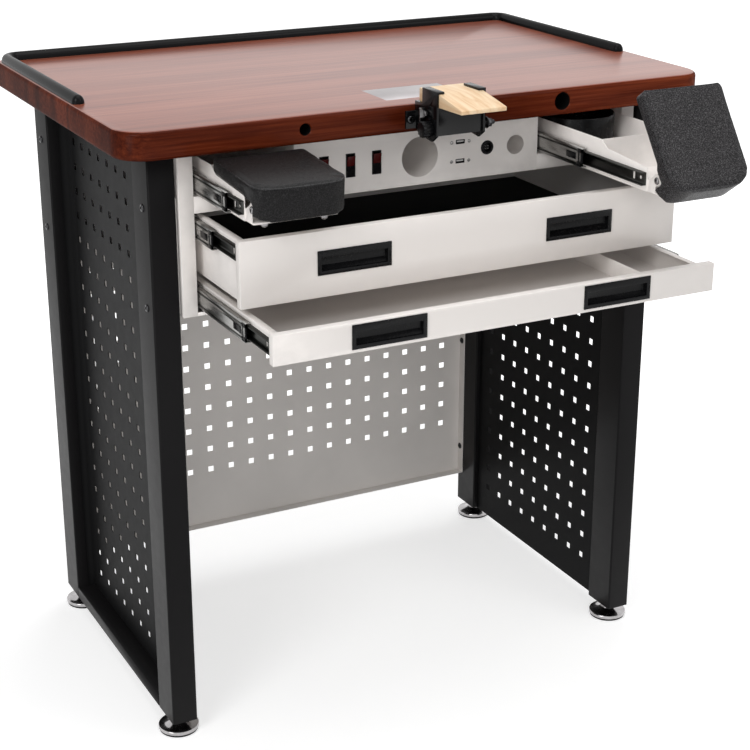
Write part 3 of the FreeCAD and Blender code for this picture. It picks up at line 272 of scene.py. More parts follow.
def leather(name, speckle):
    tree, shader = new_material(name, (0.01, 0.01, 0.011), 0.5, gloss=0.09)
    cells = tree.nodes.new("ShaderNodeTexVoronoi")
    cells.feature = "DISTANCE_TO_EDGE"
    feed(tree, cells, {"Scale": LEATHER_CELLS, "Vector": coordinates(tree)})
    crease = ramp(tree, cells.outputs["Distance"], [(0.0, (0, 0, 0)), (0.12, (1, 1, 1))])
    stops = [(at, (depth, depth * 0.95, depth)) for at, depth in zip(SPECK_POINTS, speckle)]
    set_tint(tree, shader, noise(tree, LEATHER_SPECKS, detail=2.0, rough=0.7), stops)
    set_rough(tree, shader, noise(tree, 240.0), 0.34, 0.6)
    first = add_bump(tree, shader, crease, 0.7, 0.0006)
    add_bump(tree, shader, noise(tree, 300.0, detail=3.0), 0.4, 0.0008, below=first)
    feed(tree, shader, {"Coat Weight": 0.25, "Coat IOR": 1.3, "Coat Roughness": 0.22})


def plastic(name, colour, rough, grain=0.1, gloss=0.5):
    tree, shader = new_material(name, colour, rough, gloss=gloss)
    set_rough(tree, shader, noise(tree, 90.0), rough - 0.06, rough + 0.08)
    add_bump(tree, shader, noise(tree, 900.0, detail=2.0), grain, 0.0002)


def rubber(name, colour, rough, gloss):
    tree, shader = new_material(name, colour, rough, gloss=gloss)
    set_tint(tree, shader, noise(tree, 30.0), [(0.3, scaled(colour, 0.8)), (0.7, scaled(colour, 1.3))])
    add_bump(tree, shader, noise(tree, 700.0, detail=3.0), 0.15, 0.0003)


def brushed(name, colour, rough, stretch=(4.0, 1.0, 90.0)):
    tree, shader = new_material(name, colour, rough, metal=1.0)
    lines = noise(tree, 30.0, detail=6.0, rough=0.7, stretch=stretch)
    set_rough(tree, shader, lines, rough - 0.1, rough + 0.14)
    set_tint(tree, shader, noise(tree, 16.0), [(0.3, scaled(colour, 0.86)), (0.7, scaled(colour, 1.08))])
    add_bump(tree, shader, lines, 0.08, 0.0002)


def chrome(name, shine, rough):
    tint = (shine, shine * 0.97, shine * 0.98)
    tree, shader = new_material(name, tint, rough, metal=1.0)
    set_rough(tree, shader, noise(tree, 140.0, detail=5.0), rough, rough + 0.14)
    set_tint(tree, shader, noise(tree, 80.0), [(0.35, scaled(tint, 0.85)), (0.6, scaled(tint, 1.05))])


def piping_cord():
    tree, shader = new_material("piping_cord", (0.01, 0.01, 0.011), 0.28, gloss=0.3)
    set_rough(tree, shader, noise(tree, 300.0), 0.2, 0.36)
    set_tint(tree, shader, noise(tree, 160.0), [(0.3, (0.004, 0.004, 0.0045)), (0.7, (0.018, 0.0175, 0.019))])
    add_bump(tree, shader, noise(tree, 900.0), 0.2, 0.0002)


def make_materials():
    powder_coat("charcoal_paint", (0.0080, 0.0076, 0.0080), 0.36, gloss=0.065)
    # the side panels' charcoal paint, a shade darker: painted shade of their recess
    powder_coat("charcoal_painted_shade", (0.0058, 0.0058, 0.0061), 0.45, gloss=0.045)
    powder_coat("grey_paint", (0.77, 0.735, 0.705), 0.45)
    powder_coat("white_paint", (0.79, 0.75, 0.72), 0.38, grain=0.06, patchy=0.012)
    wood("worktop_wood", TABLE_STOPS, gloss=0.2, coat=0.42, coat_rough=0.16, boards=0.0)
    wood("worktop_edge", EDGE_STOPS, gloss=0.0, coat=0.12, coat_rough=0.2, boards=1.0, scale=1.5)
    # near black for the walls of the worktop's bores: painted shade inside the holes
    plastic("bore_painted_shade", (0.004, 0.004, 0.004), 0.5, gloss=0.1)
    pin_wood()
    rubber("black_rubber", (0.0035, 0.0033, 0.0036), 0.24, 0.09)
    rubber("liner_rubber", (0.003, 0.003, 0.0032), 0.6, 0.1)
    brushed("zinc_steel", (0.36, 0.355, 0.345), 0.27)
    # zinc darkened for the slide inners and ball tracks: painted shade beside the drawer sides and in the grooves
    brushed("zinc_painted_shade", (0.05, 0.05, 0.047), 0.3)
    brushed("blackened_steel", (0.045, 0.045, 0.047), 0.24)
    brushed("plate_steel", (0.48, 0.455, 0.46), 0.5, stretch=(90.0, 2.0, 4.0))
    chrome("chrome", 0.5, 0.08)
    chrome("satin_chrome", 0.48, 0.06)
    # chrome dimmed for the cushion pivots and dome nuts: painted dark reflection
    chrome("chrome_painted_dim", 0.22, 0.1)
    # chrome darkened for the thumb screw: painted reflection of dark surroundings
    chrome("chrome_painted_dark", 0.13, 0.05)
    plastic("black_plastic", (0.004, 0.004, 0.0045), 0.26, gloss=0.14)
    plastic("red_plastic", (0.055, 0.003, 0.003), 0.2, grain=0.03, gloss=0.3)
    plastic("pale_plastic", (0.62, 0.61, 0.6), 0.4)
    leather("black_leather", (0.0008, 0.004, 0.026))
    # a lighter copy of the black leather for the raised right cushion: painted light on its tilted face
    leather("leather_painted_lit", (0.003, 0.018, 0.11))
    piping_cord()
    powder_coat("black_paint", (0.003, 0.003, 0.0034), 0.15, gloss=0.22)


# Mesh helpers
def add_to_scene(name, data):
    thing = bpy.data.objects.new(name, data)
    bpy.context.scene.collection.objects.link(thing)
    return thing


def add_object(name, mesh, material, body, replaces=()):
    piece = add_to_scene(name, mesh)
    mesh.materials.clear()
    mesh.materials.append(MATERIALS[material])
    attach(piece, body)
    if replaces:
        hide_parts(*replaces)
    return piece


def apply_modifiers(piece):
    bpy.context.view_layer.update()
    graph = bpy.context.evaluated_depsgraph_get()
    mesh = bpy.data.meshes.new_from_object(piece.evaluated_get(graph))
    piece.modifiers.clear()
    piece.data = mesh


def smooth(piece, degrees=35.0):
    for face in piece.data.polygons:
        face.use_smooth = True
    piece.data.set_sharp_from_angle(angle=math.radians(degrees))
    return piece


def bevelled(piece, width, steps=2, degrees=40.0):
    modifier = piece.modifiers.new("bevel", "BEVEL")
    modifier.width = width
    modifier.segments = steps
    modifier.limit_method = "ANGLE"
    modifier.angle_limit = math.radians(degrees)
    modifier.harden_normals = False
    apply_modifiers(piece)
    return smooth(piece, 50.0)


def body_of(node):
    return frame["nodes"][node]["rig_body"]


def dressed(node, material, width=0.5 * MM, steps=2):
    # a copy of the CAD piece with eased edges stands for it
    mesh = frame["nodes"][node].data.copy()
    form = bmesh.new()
    form.from_mesh(mesh)
    bmesh.ops.remove_doubles(form, verts=form.verts, dist=1e-6)
    bmesh.ops.dissolve_limit(form, angle_limit=math.radians(0.5), verts=form.verts, edges=form.edges)
    form.to_mesh(mesh)
    form.free()
    mesh.name = node + "_form"
    piece = add_object(node + "_skin", mesh, material, body_of(node), (node,))
    return bevelled(piece, width, steps) if width else smooth(piece)


def mesh_of(name, form):
    bmesh.ops.recalc_face_normals(form, faces=form.faces)
    mesh = bpy.data.meshes.new(name)
    form.to_mesh(mesh)
    form.free()
    return mesh


def finish_form(name, form, material, body, replaces=(), width=0.0, angle=35.0):
    piece = add_object(name, mesh_of(name, form), material, body, replaces)
    return bevelled(piece, width) if width else smooth(piece, angle)


def weld(form):
    bmesh.ops.remove_doubles(form, verts=form.verts, dist=1e-7)


def join_rings(form, pairs):
    for one, two in pairs:
        for k in range(len(one)):
            n = (k + 1) % len(one)
            form.faces.new((one[k], one[n], two[n], two[k]))


def put_box(form, low, high):
    made = bmesh.ops.create_cube(form, size=1.0)
    centre = (Vector(low) + Vector(high)) / 2
    size = Vector(high) - Vector(low)
    for v in made["verts"]:
        v.co = Vector((v.co.x * size.x, v.co.y * size.y, v.co.z * size.z)) + centre
    return made["verts"]


AXIS_FRAMES = {
    "x": Matrix(((0, 0, 1), (1, 0, 0), (0, 1, 0))),
    "y": Matrix(((0, 1, 0), (0, 0, 1), (1, 0, 0))),
    "z": Matrix(((1, 0, 0), (0, 1, 0), (0, 0, 1))),
}


def put_lathe(form, axis, centre, profile, steps=48):
    # profile holds (radius, height) pairs along the axis from the centre
    turn = AXIS_FRAMES[axis]
    rings = []
    for radius, height in profile:
        if radius < 1e-7:
            rings.append([form.verts.new(Vector(centre) + turn @ Vector((0, 0, height)))])
            continue
        ring = []
        for k in range(steps):
            a = 2 * math.pi * k / steps
            flat = Vector((radius * math.cos(a), radius * math.sin(a), height))
            ring.append(form.verts.new(Vector(centre) + turn @ flat))
        rings.append(ring)
    for low, high in zip(rings, rings[1:]):
        for k in range(steps):
            n = (k + 1) % steps
            if len(low) == 1 and len(high) == 1:
                continue
            if len(low) == 1:
                form.faces.new((low[0], high[k], high[n]))
            elif len(high) == 1:
                form.faces.new((low[k], low[n], high[0]))
            else:
                form.faces.new((low[k], low[n], high[n], high[k]))


def put_prism(form, axis, start, end, corners):
    # corners are flat pairs in the two axes that follow from the prism's axis, in X, Y, Z order
    def place(at, a, b):
        return {"x": (at, a, b), "y": (a, at, b), "z": (a, b, at)}[axis]
    low = [form.verts.new(place(start, a, b)) for a, b in corners]
    high = [form.verts.new(place(end, a, b)) for a, b in corners]
    form.faces.new(low)
    form.faces.new(high[::-1])
    for k in range(len(low)):
        n = (k + 1) % len(low)
        form.faces.new((low[k], high[k], high[n], low[n]))


def rounded_outline(x0, x1, y0, y1, radii, steps=ARC_STEPS):
    # radii start at the low corner and go round anticlockwise
    corners = ((x0, y0, 180), (x1, y0, 270), (x1, y1, 0), (x0, y1, 90))
    points = []
    for (x, y, start), r in zip(corners, radii):
        cx = x + r if x == x0 else x - r
        cy = y + r if y == y0 else y - r
        for k in range(steps + 1):
            a = math.radians(start + 90.0 * k / steps)
            points.append((cx + r * math.cos(a), cy + r * math.sin(a)))
    return points


def cut(piece, form, operation="DIFFERENCE"):
    mesh = mesh_of("cutter", form)
    tool = add_to_scene("cutter", mesh)
    modifier = piece.modifiers.new("cut", "BOOLEAN")
    modifier.operation = operation
    modifier.solver = "EXACT"
    modifier.object = tool
    apply_modifiers(piece)
    bpy.data.objects.remove(tool)
    bpy.data.meshes.remove(mesh)


# Worktop: slab with rounded edges, two front bores and a pocket for the steel plate
BORE_X = 198.5 * MM
BORE_Z = 894.5 * MM
BORE_R = (8 * MM, 12.5 * MM)
BORE_DEEP = 60 * MM
BORE_LEAD = 5 * MM
BORE_EASE = 6 * MM
BORE_SIDES = 48
EDGE_STEPS = 6
TOP_FACING = 0.8


def make_worktop():
    low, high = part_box("worktop")
    form = bmesh.new()
    quarter = [math.radians(90.0 * k / EDGE_STEPS) for k in range(EDGE_STEPS + 1)]
    layers = [(EDGE_ROUND * (1 - math.sin(a)), low.z + EDGE_ROUND * (1 - math.cos(a))) for a in quarter]
    layers += [(EDGE_ROUND * (1 - math.cos(a)), high.z - EDGE_ROUND * (1 - math.sin(a))) for a in quarter]
    rings = []
    for inset, z in layers:
        radii = [FRONT_ROUND - inset] * 2 + [BACK_ROUND - inset] * 2
        flat = rounded_outline(low.x + inset, high.x - inset, low.y + inset, high.y - inset, radii)
        rings.append([form.verts.new((x, y, z)) for x, y in flat])
    join_rings(form, zip(rings, rings[1:]))
    form.faces.new(rings[0][::-1])
    form.faces.new(rings[-1])
    piece = finish_form("worktop_slab", form, "worktop_wood", BENCH, replaces=("worktop",))
    holes = bmesh.new()
    for x, r in zip((-BORE_X, BORE_X), BORE_R):
        end = BORE_LEAD + BORE_DEEP
        profile = [(0, 0), (r + BORE_EASE, 0), (r, BORE_EASE), (r, end), (0, end)]
        put_lathe(holes, "y", (x, low.y - BORE_LEAD, BORE_Z), profile, BORE_SIDES)
    plate_low, plate_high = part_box("bench_plate")
    put_box(holes, plate_low, plate_high + Vector((0, 0, CUT_SPARE)))
    cut(piece, holes)
    piece.data.materials.append(MATERIALS["worktop_edge"])
    piece.data.materials.append(MATERIALS["bore_painted_shade"])
    near = 0.5 * MM
    for face in piece.data.polygons:
        face.material_index = 0 if face.normal.z > TOP_FACING else 1
        # the bore walls are painted black: painted shade inside the holes
        for x, r in zip((-BORE_X, BORE_X), BORE_R):
            off = math.hypot(face.center.x - x, face.center.z - BORE_Z)
            if off < r + near and face.center.y > low.y + near and abs(face.normal.z) < 1:
                face.material_index = 2
    smooth(piece, 40)


LIP_HALF = 9 * MM
LIP_END = 0.9 * LIP_HALF
LIP_END_STEPS = 6
LIP_END_REACH = 6.4
LIP_SIDES = 12
LIP_FULLNESS = 0.8


def lip_path(x0, x1, y0, y1):
    # from the left end over the back to the right end
    path = [Vector((x0, y0, 0))]
    for x, start in ((x0 + BACK_ROUND, 180.0), (x1 - BACK_ROUND, 90.0)):
        for k in range(ARC_STEPS + 1):
            a = math.radians(start - 90.0 * k / ARC_STEPS)
            path.append(Vector((x + BACK_ROUND * math.cos(a), y1 - BACK_ROUND + BACK_ROUND * math.sin(a), 0)))
    return path + [Vector((x1, y0, 0))]


def make_edge_lip():
    low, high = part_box("edge_lip")
    path = lip_path(low.x + LIP_HALF, high.x - LIP_HALF, low.y + LIP_END, high.y - LIP_HALF)
    form = bmesh.new()
    stations = []
    for k, here in enumerate(path):
        ahead = (path[min(k + 1, len(path) - 1)] - path[max(k - 1, 0)]).normalized()
        stations.append((here, ahead, 1.0))
    for end, way in ((0, -1), (-1, 1)):
        here, ahead, _ = stations[end]
        extra = []
        for k in range(1, LIP_END_STEPS + 1):
            a = math.radians(90.0 * k / LIP_END_REACH)
            extra.append((here + way * ahead * LIP_END * math.sin(a), ahead, math.cos(a)))
        stations = extra[::-1] + stations if way < 0 else stations + extra
    rings = []
    for here, ahead, size in stations:
        side = Vector((ahead.y, -ahead.x, 0))
        ring = []
        for k in range(LIP_SIDES + 1):
            a = math.radians(180.0 * k / LIP_SIDES)
            rise = (high.z - low.z) * math.sin(a) ** LIP_FULLNESS * size
            ring.append(form.verts.new(here + side * LIP_HALF * math.cos(a) * size + Vector((0, 0, low.z + rise))))
        rings.append(ring)
    join_rings(form, zip(rings, rings[1:]))
    form.faces.new(rings[0])
    form.faces.new(rings[-1][::-1])
    finish_form("edge_lip_bead", form, "black_rubber", BENCH, replaces=("edge_lip",))


# Feet: rubber pad, plated dish with a rolled rim, threaded stud
FOOT_PAD_H = 4 * MM
FOOT_RIM_H = (5 * MM, 8 * MM, 9.4 * MM)
FOOT_EASE = 0.8 * MM
FOOT_DOME_STEPS = 8
FOOT_DOME_RISE = 5 * MM
FOOT_DOME_R = 14 * MM
FOOT_NECK_R = 11 * MM
FOOT_NECK_H = (15 * MM, 24.9 * MM, 25.7 * MM)
STUD_R = 5 * MM


def make_foot(node):
    low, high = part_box(node)
    at = ((low.x + high.x) / 2, (low.y + high.y) / 2, 0)
    r = (high.x - low.x) / 2
    body = body_of(node)
    form = bmesh.new()
    put_lathe(form, "z", at, [(0, 0), (r - 3 * MM, 0), (r - 1.4 * MM, 1.2 * MM), (r - 1.2 * MM, FOOT_PAD_H),
                              (0, FOOT_PAD_H)])
    finish_form(node + "_pad", form, "black_rubber", body)
    form = bmesh.new()
    foot, head, brim = FOOT_RIM_H
    dome = [(0, FOOT_PAD_H), (r - FOOT_EASE, FOOT_PAD_H), (r, foot), (r, head), (r - FOOT_EASE, brim)]
    for k in range(1, FOOT_DOME_STEPS + 1):
        share = k / FOOT_DOME_STEPS
        dome.append((r - 2 * MM - (r - FOOT_DOME_R) * share, brim + FOOT_DOME_RISE * share ** 2.2))
    root, shoulder, crown = FOOT_NECK_H
    dome += [(FOOT_NECK_R, root), (FOOT_NECK_R, shoulder), (FOOT_NECK_R - FOOT_EASE, crown), (STUD_R, crown),
             (STUD_R, high.z - 1 * MM), (STUD_R - 1 * MM, high.z), (0, high.z)]
    put_lathe(form, "z", at, dome)
    finish_form(node + "_dish", form, "satin_chrome", body, (node,), angle=50)


# Fasteners with a low dome and a round key recess
HEAD_SEAT = 0.3 * MM
HEAD_STEPS = 6
HEAD_SIDES = 24
HEAD_FLAT = 0.45
KEY_HOLE = (0.42, 0.40)
KEY_DEPTH = 0.35
SCREW_HEAD = (5.5 * MM, 2.4 * MM)


def put_dome_head(form, axis, seat, way, radius, height):
    profile = [(radius * 0.98, 0), (radius, way * HEAD_SEAT)]
    for k in range(1, HEAD_STEPS + 1):
        a = math.radians(90.0 * k / HEAD_STEPS)
        reach = HEAD_FLAT + (1 - HEAD_FLAT) * math.cos(a)
        profile.append((radius * reach, way * (HEAD_SEAT + (height - HEAD_SEAT) * math.sin(a))))
    profile += [(radius * KEY_HOLE[0], way * height), (radius * KEY_HOLE[1], way * height * KEY_DEPTH),
                (0, way * height * KEY_DEPTH)]
    put_lathe(form, axis, seat, profile, HEAD_SIDES)


CABINET_SCREW_Y = (23 * MM, 472 * MM)
CABINET_SCREW_Z = (659 * MM, 797 * MM)
PANEL_SCREW_Z = (133 * MM, 341 * MM, 549 * MM)
PANEL_SCREW_IN = (1.2 * MM, 9 * MM)


def make_frame_screws():
    form = bmesh.new()
    for y in CABINET_SCREW_Y:
        for z in CABINET_SCREW_Z:
            for side in (-1, 1):
                put_dome_head(form, "x", (side * RIGHT_BOX[1].x, FRONT_Y + y, z), side, *SCREW_HEAD)
    x = RIGHT_BOX[0].x - PANEL_SCREW_IN[0]
    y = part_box("back_panel")[1].y - PANEL_SCREW_IN[1]
    for z in PANEL_SCREW_Z:
        for side in (-1, 1):
            put_dome_head(form, "x", (side * x, y, z), -side, *SCREW_HEAD)
    finish_form("frame_screw_heads", form, "blackened_steel", BENCH, ("frame_screws",), angle=45)


def make_bracket_screws():
    low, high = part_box("bracket_screws")
    form = bmesh.new()
    for side in (-1, 1):
        seat = (side * (high.x - SCREW_HEAD[0]), high.y, (low.z + high.z) / 2)
        put_dome_head(form, "y", seat, -1, *SCREW_HEAD)
    finish_form("bracket_screw_heads", form, "blackened_steel", BENCH, ("bracket_screws",), angle=45)


PIVOT_HEAD = (5 * MM, 2.4 * MM)
PIVOT_R = 3 * MM
NUT_FROM_PIVOT = 2.3 * MM
NUT_X = 41 * MM
NUT_FLANGE = (5.2 * MM, 2.0 * MM)
NUT_DOME = (4.6 * MM, 3.8 * MM)
NUT_SKIRT = 2.2 * MM


def make_tray_fasteners(side_name):
    node = side_name + "_tray_fasteners"
    low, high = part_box(node)
    pivot = Vector(JOINTS[side_name + "_pad_hinge"]["pos_m"])
    middle = (low.x + high.x) / 2
    inner = high.x - middle - PIVOT_HEAD[1]
    form = bmesh.new()
    for way in (-1, 1):
        put_dome_head(form, "x", (middle + way * inner, pivot.y, pivot.z), way, *PIVOT_HEAD)
    pin = [(0, -inner), (PIVOT_R, -inner), (PIVOT_R, inner), (0, inner)]
    put_lathe(form, "x", (middle, pivot.y, pivot.z), pin, 32)
    for way in (-1, 1):
        dome = [(0, -NUT_SKIRT - NUT_DOME[1])]
        for k in range(1, HEAD_STEPS + 1):
            a = math.radians(90.0 * k / HEAD_STEPS)
            dome.append((NUT_DOME[0] * math.sin(a), -NUT_SKIRT - NUT_DOME[1] * math.cos(a)))
        dome += [(NUT_FLANGE[0], -NUT_FLANGE[1]), (NUT_FLANGE[0], 0), (0, 0)]
        seat = (middle + way * NUT_X, pivot.y + NUT_FROM_PIVOT, low.z + NUT_SKIRT + NUT_DOME[1])
        put_lathe(form, "z", seat, dome, 32)
    # the pivots and dome nuts take the dimmed chrome: painted dark reflection
    finish_form(node + "_set", form, "chrome_painted_dim", body_of(node), (node,), angle=50)


# Cushions: closed leather forms inflated by a short cloth simulation, with piping
def pad_frame(side_name, tilt):
    pivot = Vector(JOINTS[side_name + "_pad_hinge"]["pos_m"])
    turn = Matrix.Rotation(math.radians(tilt), 4, "X")
    return Matrix.Translation(pivot) @ turn


CLOTH_PRESSURE = 2.0
CLOTH_FRAMES = 20


def inflate(piece):
    remeshed(piece)
    rest = [v.co.copy() for v in piece.data.vertices]
    cloth = piece.modifiers.new("cloth", "CLOTH")
    cloth.settings.use_pressure = True
    cloth.settings.uniform_pressure_force = CLOTH_PRESSURE
    cloth.settings.effector_weights.gravity = 0.0
    cloth.settings.quality = 5
    for number in range(1, CLOTH_FRAMES + 1):
        bpy.context.scene.frame_set(number)
    graph = bpy.context.evaluated_depsgraph_get()
    moved = [v.co.copy() for v in piece.evaluated_get(graph).data.vertices]
    piece.modifiers.clear()
    bpy.context.scene.frame_set(1)
    for vertex, before, after in zip(piece.data.vertices, rest, moved):
        step = after - before
        if step.length > PAD_CAP:
            step = step.normalized() * PAD_CAP
        vertex.co = before + step


def remeshed(piece):
    remesh = piece.modifiers.new("remesh", "REMESH")
    remesh.mode = "VOXEL"
    remesh.voxel_size = PAD_VOXEL
    apply_modifiers(piece)


def pad_solid(form, flat):
    # the cushion's outline from the side and from above, and the two wedges cut off below
    y0, y1 = -PAD_BEHIND + PAD_SHRINK, PAD_LENGTH - PAD_BEHIND - PAD_SHRINK
    half, top = PAD_WIDTH / 2 - PAD_SHRINK, PAD_ABOVE - PAD_SHRINK
    below, under = top - PAD_THICK + 2 * PAD_SHRINK, top - NOSE_DEEP + 2 * PAD_SHRINK
    if flat == "side":
        put_prism(form, "x", -half, half, [(y0, under - NOSE_DROP), (y0, top), (y1, top), (y1, below),
                                           (y0 + NOSE_LONG, below), (y0 + NOSE_LONG, under),
                                           (y0 + NOSE_LONG * NOSE_FLAT, under)])
    if flat == "plan":
        put_prism(form, "z", top - NOSE_DEEP - PLAN_BELOW, top + CUT_SPARE,
                  rounded_outline(-half, half, y0, y1, PAD_CORNERS))
    if flat in ("left", "right"):
        # behind its nose the cushion is drawn in below, where it passes between the slides
        way = -1 if flat == "left" else 1
        edge, foot = way * (half + CUT_SPARE), way * (half - PAD_TAPER)
        lowest = top - PAD_THICK - CUT_SPARE
        put_prism(form, "y", PAD_FLARE, y1 + CUT_SPARE,
                  [(way * half, top - PAD_BELT), (foot, top - PAD_THICK + PAD_FOOT), (foot, lowest),
                   (edge, lowest), (edge, top - PAD_BELT)])


# the right cushion takes the lighter copy of the leather: painted light
PAD_HIDES = {"left": "black_leather", "right": "leather_painted_lit"}


def make_pad(side_name, tilt):
    node = side_name + "_armrest_pad"
    body = body_of(node)
    low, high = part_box(node)
    place = pad_frame(side_name, tilt)
    place = Matrix.Translation(Vector(((low.x + high.x) / 2 - place.translation.x, 0, 0))) @ place
    form = bmesh.new()
    pad_solid(form, "side")
    bmesh.ops.transform(form, matrix=place, verts=form.verts)
    piece = finish_form(node + "_cushion", form, PAD_HIDES[side_name], body, (node,))
    for flat, operation in (("plan", "INTERSECT"), ("left", "DIFFERENCE"), ("right", "DIFFERENCE")):
        form = bmesh.new()
        pad_solid(form, flat)
        bmesh.ops.transform(form, matrix=place, verts=form.verts)
        cut(piece, form, operation)
    inflate(piece)
    relax = piece.modifiers.new("relax", "SMOOTH")
    relax.factor = 0.5
    relax.iterations = 2
    fine = piece.modifiers.new("fine", "SUBSURF")
    fine.levels = 1
    fine.render_levels = 1
    apply_modifiers(piece)
    smooth(piece, 180)
    make_piping(side_name, place, piece, body)


PIPING_INSET = 0.5 * MM
PIPING_SINK = 0.3
PIPING_POINTS = 260
PIPING_ARC_STEPS = 16


def seam_path(place):
    # points at equal steps along the cushion's upper rim
    half = PAD_WIDTH / 2 - PIPING_INSET
    y0, y1 = -PAD_BEHIND + PIPING_INSET, PAD_LENGTH - PAD_BEHIND - PIPING_INSET
    outline = rounded_outline(-half, half, y0, y1, PAD_CORNERS, PIPING_ARC_STEPS)
    points = [Vector((x, y, PAD_ABOVE - PIPING_INSET)) for x, y in outline]
    lengths = [0.0]
    for one, two in zip(points, points[1:] + points[:1]):
        lengths.append(lengths[-1] + (two - one).length)
    result = []
    for k in range(PIPING_POINTS):
        goal = lengths[-1] * k / PIPING_POINTS
        i = max(j for j in range(len(points)) if lengths[j] <= goal)
        part = (goal - lengths[i]) / (lengths[i + 1] - lengths[i])
        point = points[i].lerp(points[(i + 1) % len(points)], part)
        result.append(place @ point)
    return result


def surface_of(piece):
    bpy.context.view_layer.update()
    form = bmesh.new()
    form.from_mesh(piece.data)
    tree = BVHTree.FromBMesh(form)
    form.free()
    return tree


def put_tube(form, points, radius, sides=8):
    # a closed tube along a ring of points
    rings = []
    count = len(points)
    for k, here in enumerate(points):
        ahead = (points[(k + 1) % count] - points[k - 1]).normalized()
        side = ahead.cross(Vector((0, 0, 1)))
        if side.length < 1e-3:
            side = ahead.cross(Vector((0, 1, 0)))
        side.normalize()
        up = side.cross(ahead)
        ring = []
        for j in range(sides):
            a = 2 * math.pi * j / sides
            ring.append(form.verts.new(here + radius * (side * math.cos(a) + up * math.sin(a))))
        rings.append(ring)
    join_rings(form, zip(rings, rings[1:] + rings[:1]))


def make_piping(side_name, place, cushion, body):
    tree = surface_of(cushion)
    seam = []
    for point in seam_path(place):
        near, normal, _, _ = tree.find_nearest(point)
        seam.append(near - normal * PIPING_R * PIPING_SINK)
    form = bmesh.new()
    put_tube(form, seam, PIPING_R)
    finish_form(side_name + "_pad_piping", form, "piping_cord", body, angle=180)


# The bracket's clamp screw: fluted knob, spindle, washer and nuts
KNOB_R = 11 * MM
KNOB_L = 14 * MM
KNOB_FLUTES = 12
FLUTE_DEEP = 1.6 * MM
FLUTE_STEPS = 6
SPINDLE_R = 3 * MM
SPINDLE_TIP = (2.2 * MM, 1 * MM)
JAM_NUT = (5.5 * MM, 37.3 * MM, 43.3 * MM)
LOCK_NUT = (5.5 * MM * 1.15, 49.4 * MM, 55.4 * MM)
WASHER = (8 * MM, 1.4 * MM)
END_X = 42 * MM
END_L = 19 * MM


def put_nut(form, at, radius, start, end):
    corners = []
    for k in range(6):
        a = math.radians(60 * k)
        corners.append((at.y + radius * math.cos(a), at.z + radius * math.sin(a)))
    put_prism(form, "x", start, end, corners)


def put_spindle(form, at, start, length):
    tip_r, tip_l = SPINDLE_TIP
    profile = [(0, 0), (SPINDLE_R, 0), (SPINDLE_R, length - tip_l), (tip_r, length), (0, length)]
    put_lathe(form, "x", (start, at.y, at.z), profile, 32)


def make_clamp_screw():
    low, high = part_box("clamp_screw")
    at = Vector(JOINTS["clamp_screw_turn"]["pos_m"])
    body = body_of("clamp_screw")
    grip = []
    for k in range(KNOB_FLUTES * FLUTE_STEPS):
        a = 2 * math.pi * k / (KNOB_FLUTES * FLUTE_STEPS)
        r = KNOB_R - FLUTE_DEEP * (0.5 + 0.5 * math.cos(a * KNOB_FLUTES)) ** 1.5
        grip.append((at.y + r * math.cos(a), at.z + r * math.sin(a)))
    form = bmesh.new()
    put_prism(form, "x", low.x, low.x + KNOB_L, grip)
    finish_form("clamp_knob", form, "black_plastic", body, replaces=("clamp_screw",), width=0.8 * MM)
    form = bmesh.new()
    inner = low.x + KNOB_L - 1 * MM
    put_spindle(form, at, inner, high.x - inner)
    put_nut(form, at, *JAM_NUT)
    finish_form("clamp_spindle", form, "zinc_steel", body, width=0.3 * MM)
    form = bmesh.new()
    put_spindle(form, at, END_X, END_L)
    washer_r, washer_t = WASHER
    put_lathe(form, "x", (LOCK_NUT[1] - washer_t, at.y, at.z),
              [(0, 0), (washer_r, 0), (washer_r, washer_t), (0, washer_t)], 40)
    put_nut(form, at, *LOCK_NUT)
    finish_form("clamp_lock_nut", form, "blackened_steel", body, width=0.4 * MM)


# Fascia with smooth holes, tubes and sockets
ROCKER_X = (-148 * MM, -108 * MM, -68 * MM)
FITTING_Z = 826 * MM
CUP_R = 28.5 * MM
TOOL_AT = (155 * MM, 827 * MM)
TOOL_R = 14 * MM
SOCKET_AT = (108 * MM, 828 * MM)
SLOT_X = 64.5 * MM
SLOT_Z = (813 * MM, 840.5 * MM)
SOCKET_HOLE_R = 8.5 * MM
ROCKER_WELL = (6.8 * MM, 16 * MM)
SLOT_WELL = (7.35 * MM, 3.25 * MM)
HOLE_LEAD = 2 * MM
HOLE_THROUGH = 6 * MM
ROUND_SIDES = 96


def make_fascia():
    low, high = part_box("fascia_panel")
    form = bmesh.new()
    put_box(form, low, high)
    piece = finish_form("fascia_sheet", form, "white_paint", BENCH, replaces=("fascia_panel",))
    holes = bmesh.new()
    start = low.y - HOLE_LEAD
    for x, z, r in ((0, FITTING_Z, CUP_R), (*TOOL_AT, TOOL_R), (*SOCKET_AT, SOCKET_HOLE_R)):
        put_lathe(holes, "y", (x, start, z), [(0, 0), (r, 0), (r, HOLE_THROUGH), (0, HOLE_THROUGH)], ROUND_SIDES)
    wells = [(x, FITTING_Z, *ROCKER_WELL) for x in ROCKER_X] + [(SLOT_X, z, *SLOT_WELL) for z in SLOT_Z]
    for x, z, half_w, half_h in wells:
        put_box(holes, (x - half_w, start, z - half_h), (x + half_w, high.y + HOLE_LEAD, z + half_h))
    cut(piece, holes)
    smooth(piece, 30)


TUBE_WALL = 1.5 * MM
TUBE_DEEP = (150 * MM, 120 * MM)


def make_tubes():
    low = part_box("tool_tubes")[0]
    form = bmesh.new()
    for x, z, r, deep in ((0, FITTING_Z, CUP_R, TUBE_DEEP[0]), (*TOOL_AT, TOOL_R, TUBE_DEEP[1])):
        profile = [(r, 0), (r + TUBE_WALL, 0), (r + TUBE_WALL, deep), (0, deep), (0, deep - TUBE_WALL),
                   (r, deep - TUBE_WALL), (r, 0)]
        put_lathe(form, "y", (x, low.y, z), profile, ROUND_SIDES)
    weld(form)
    finish_form("tool_tube_pair", form, "white_paint", BENCH, replaces=("tool_tubes",), angle=40)


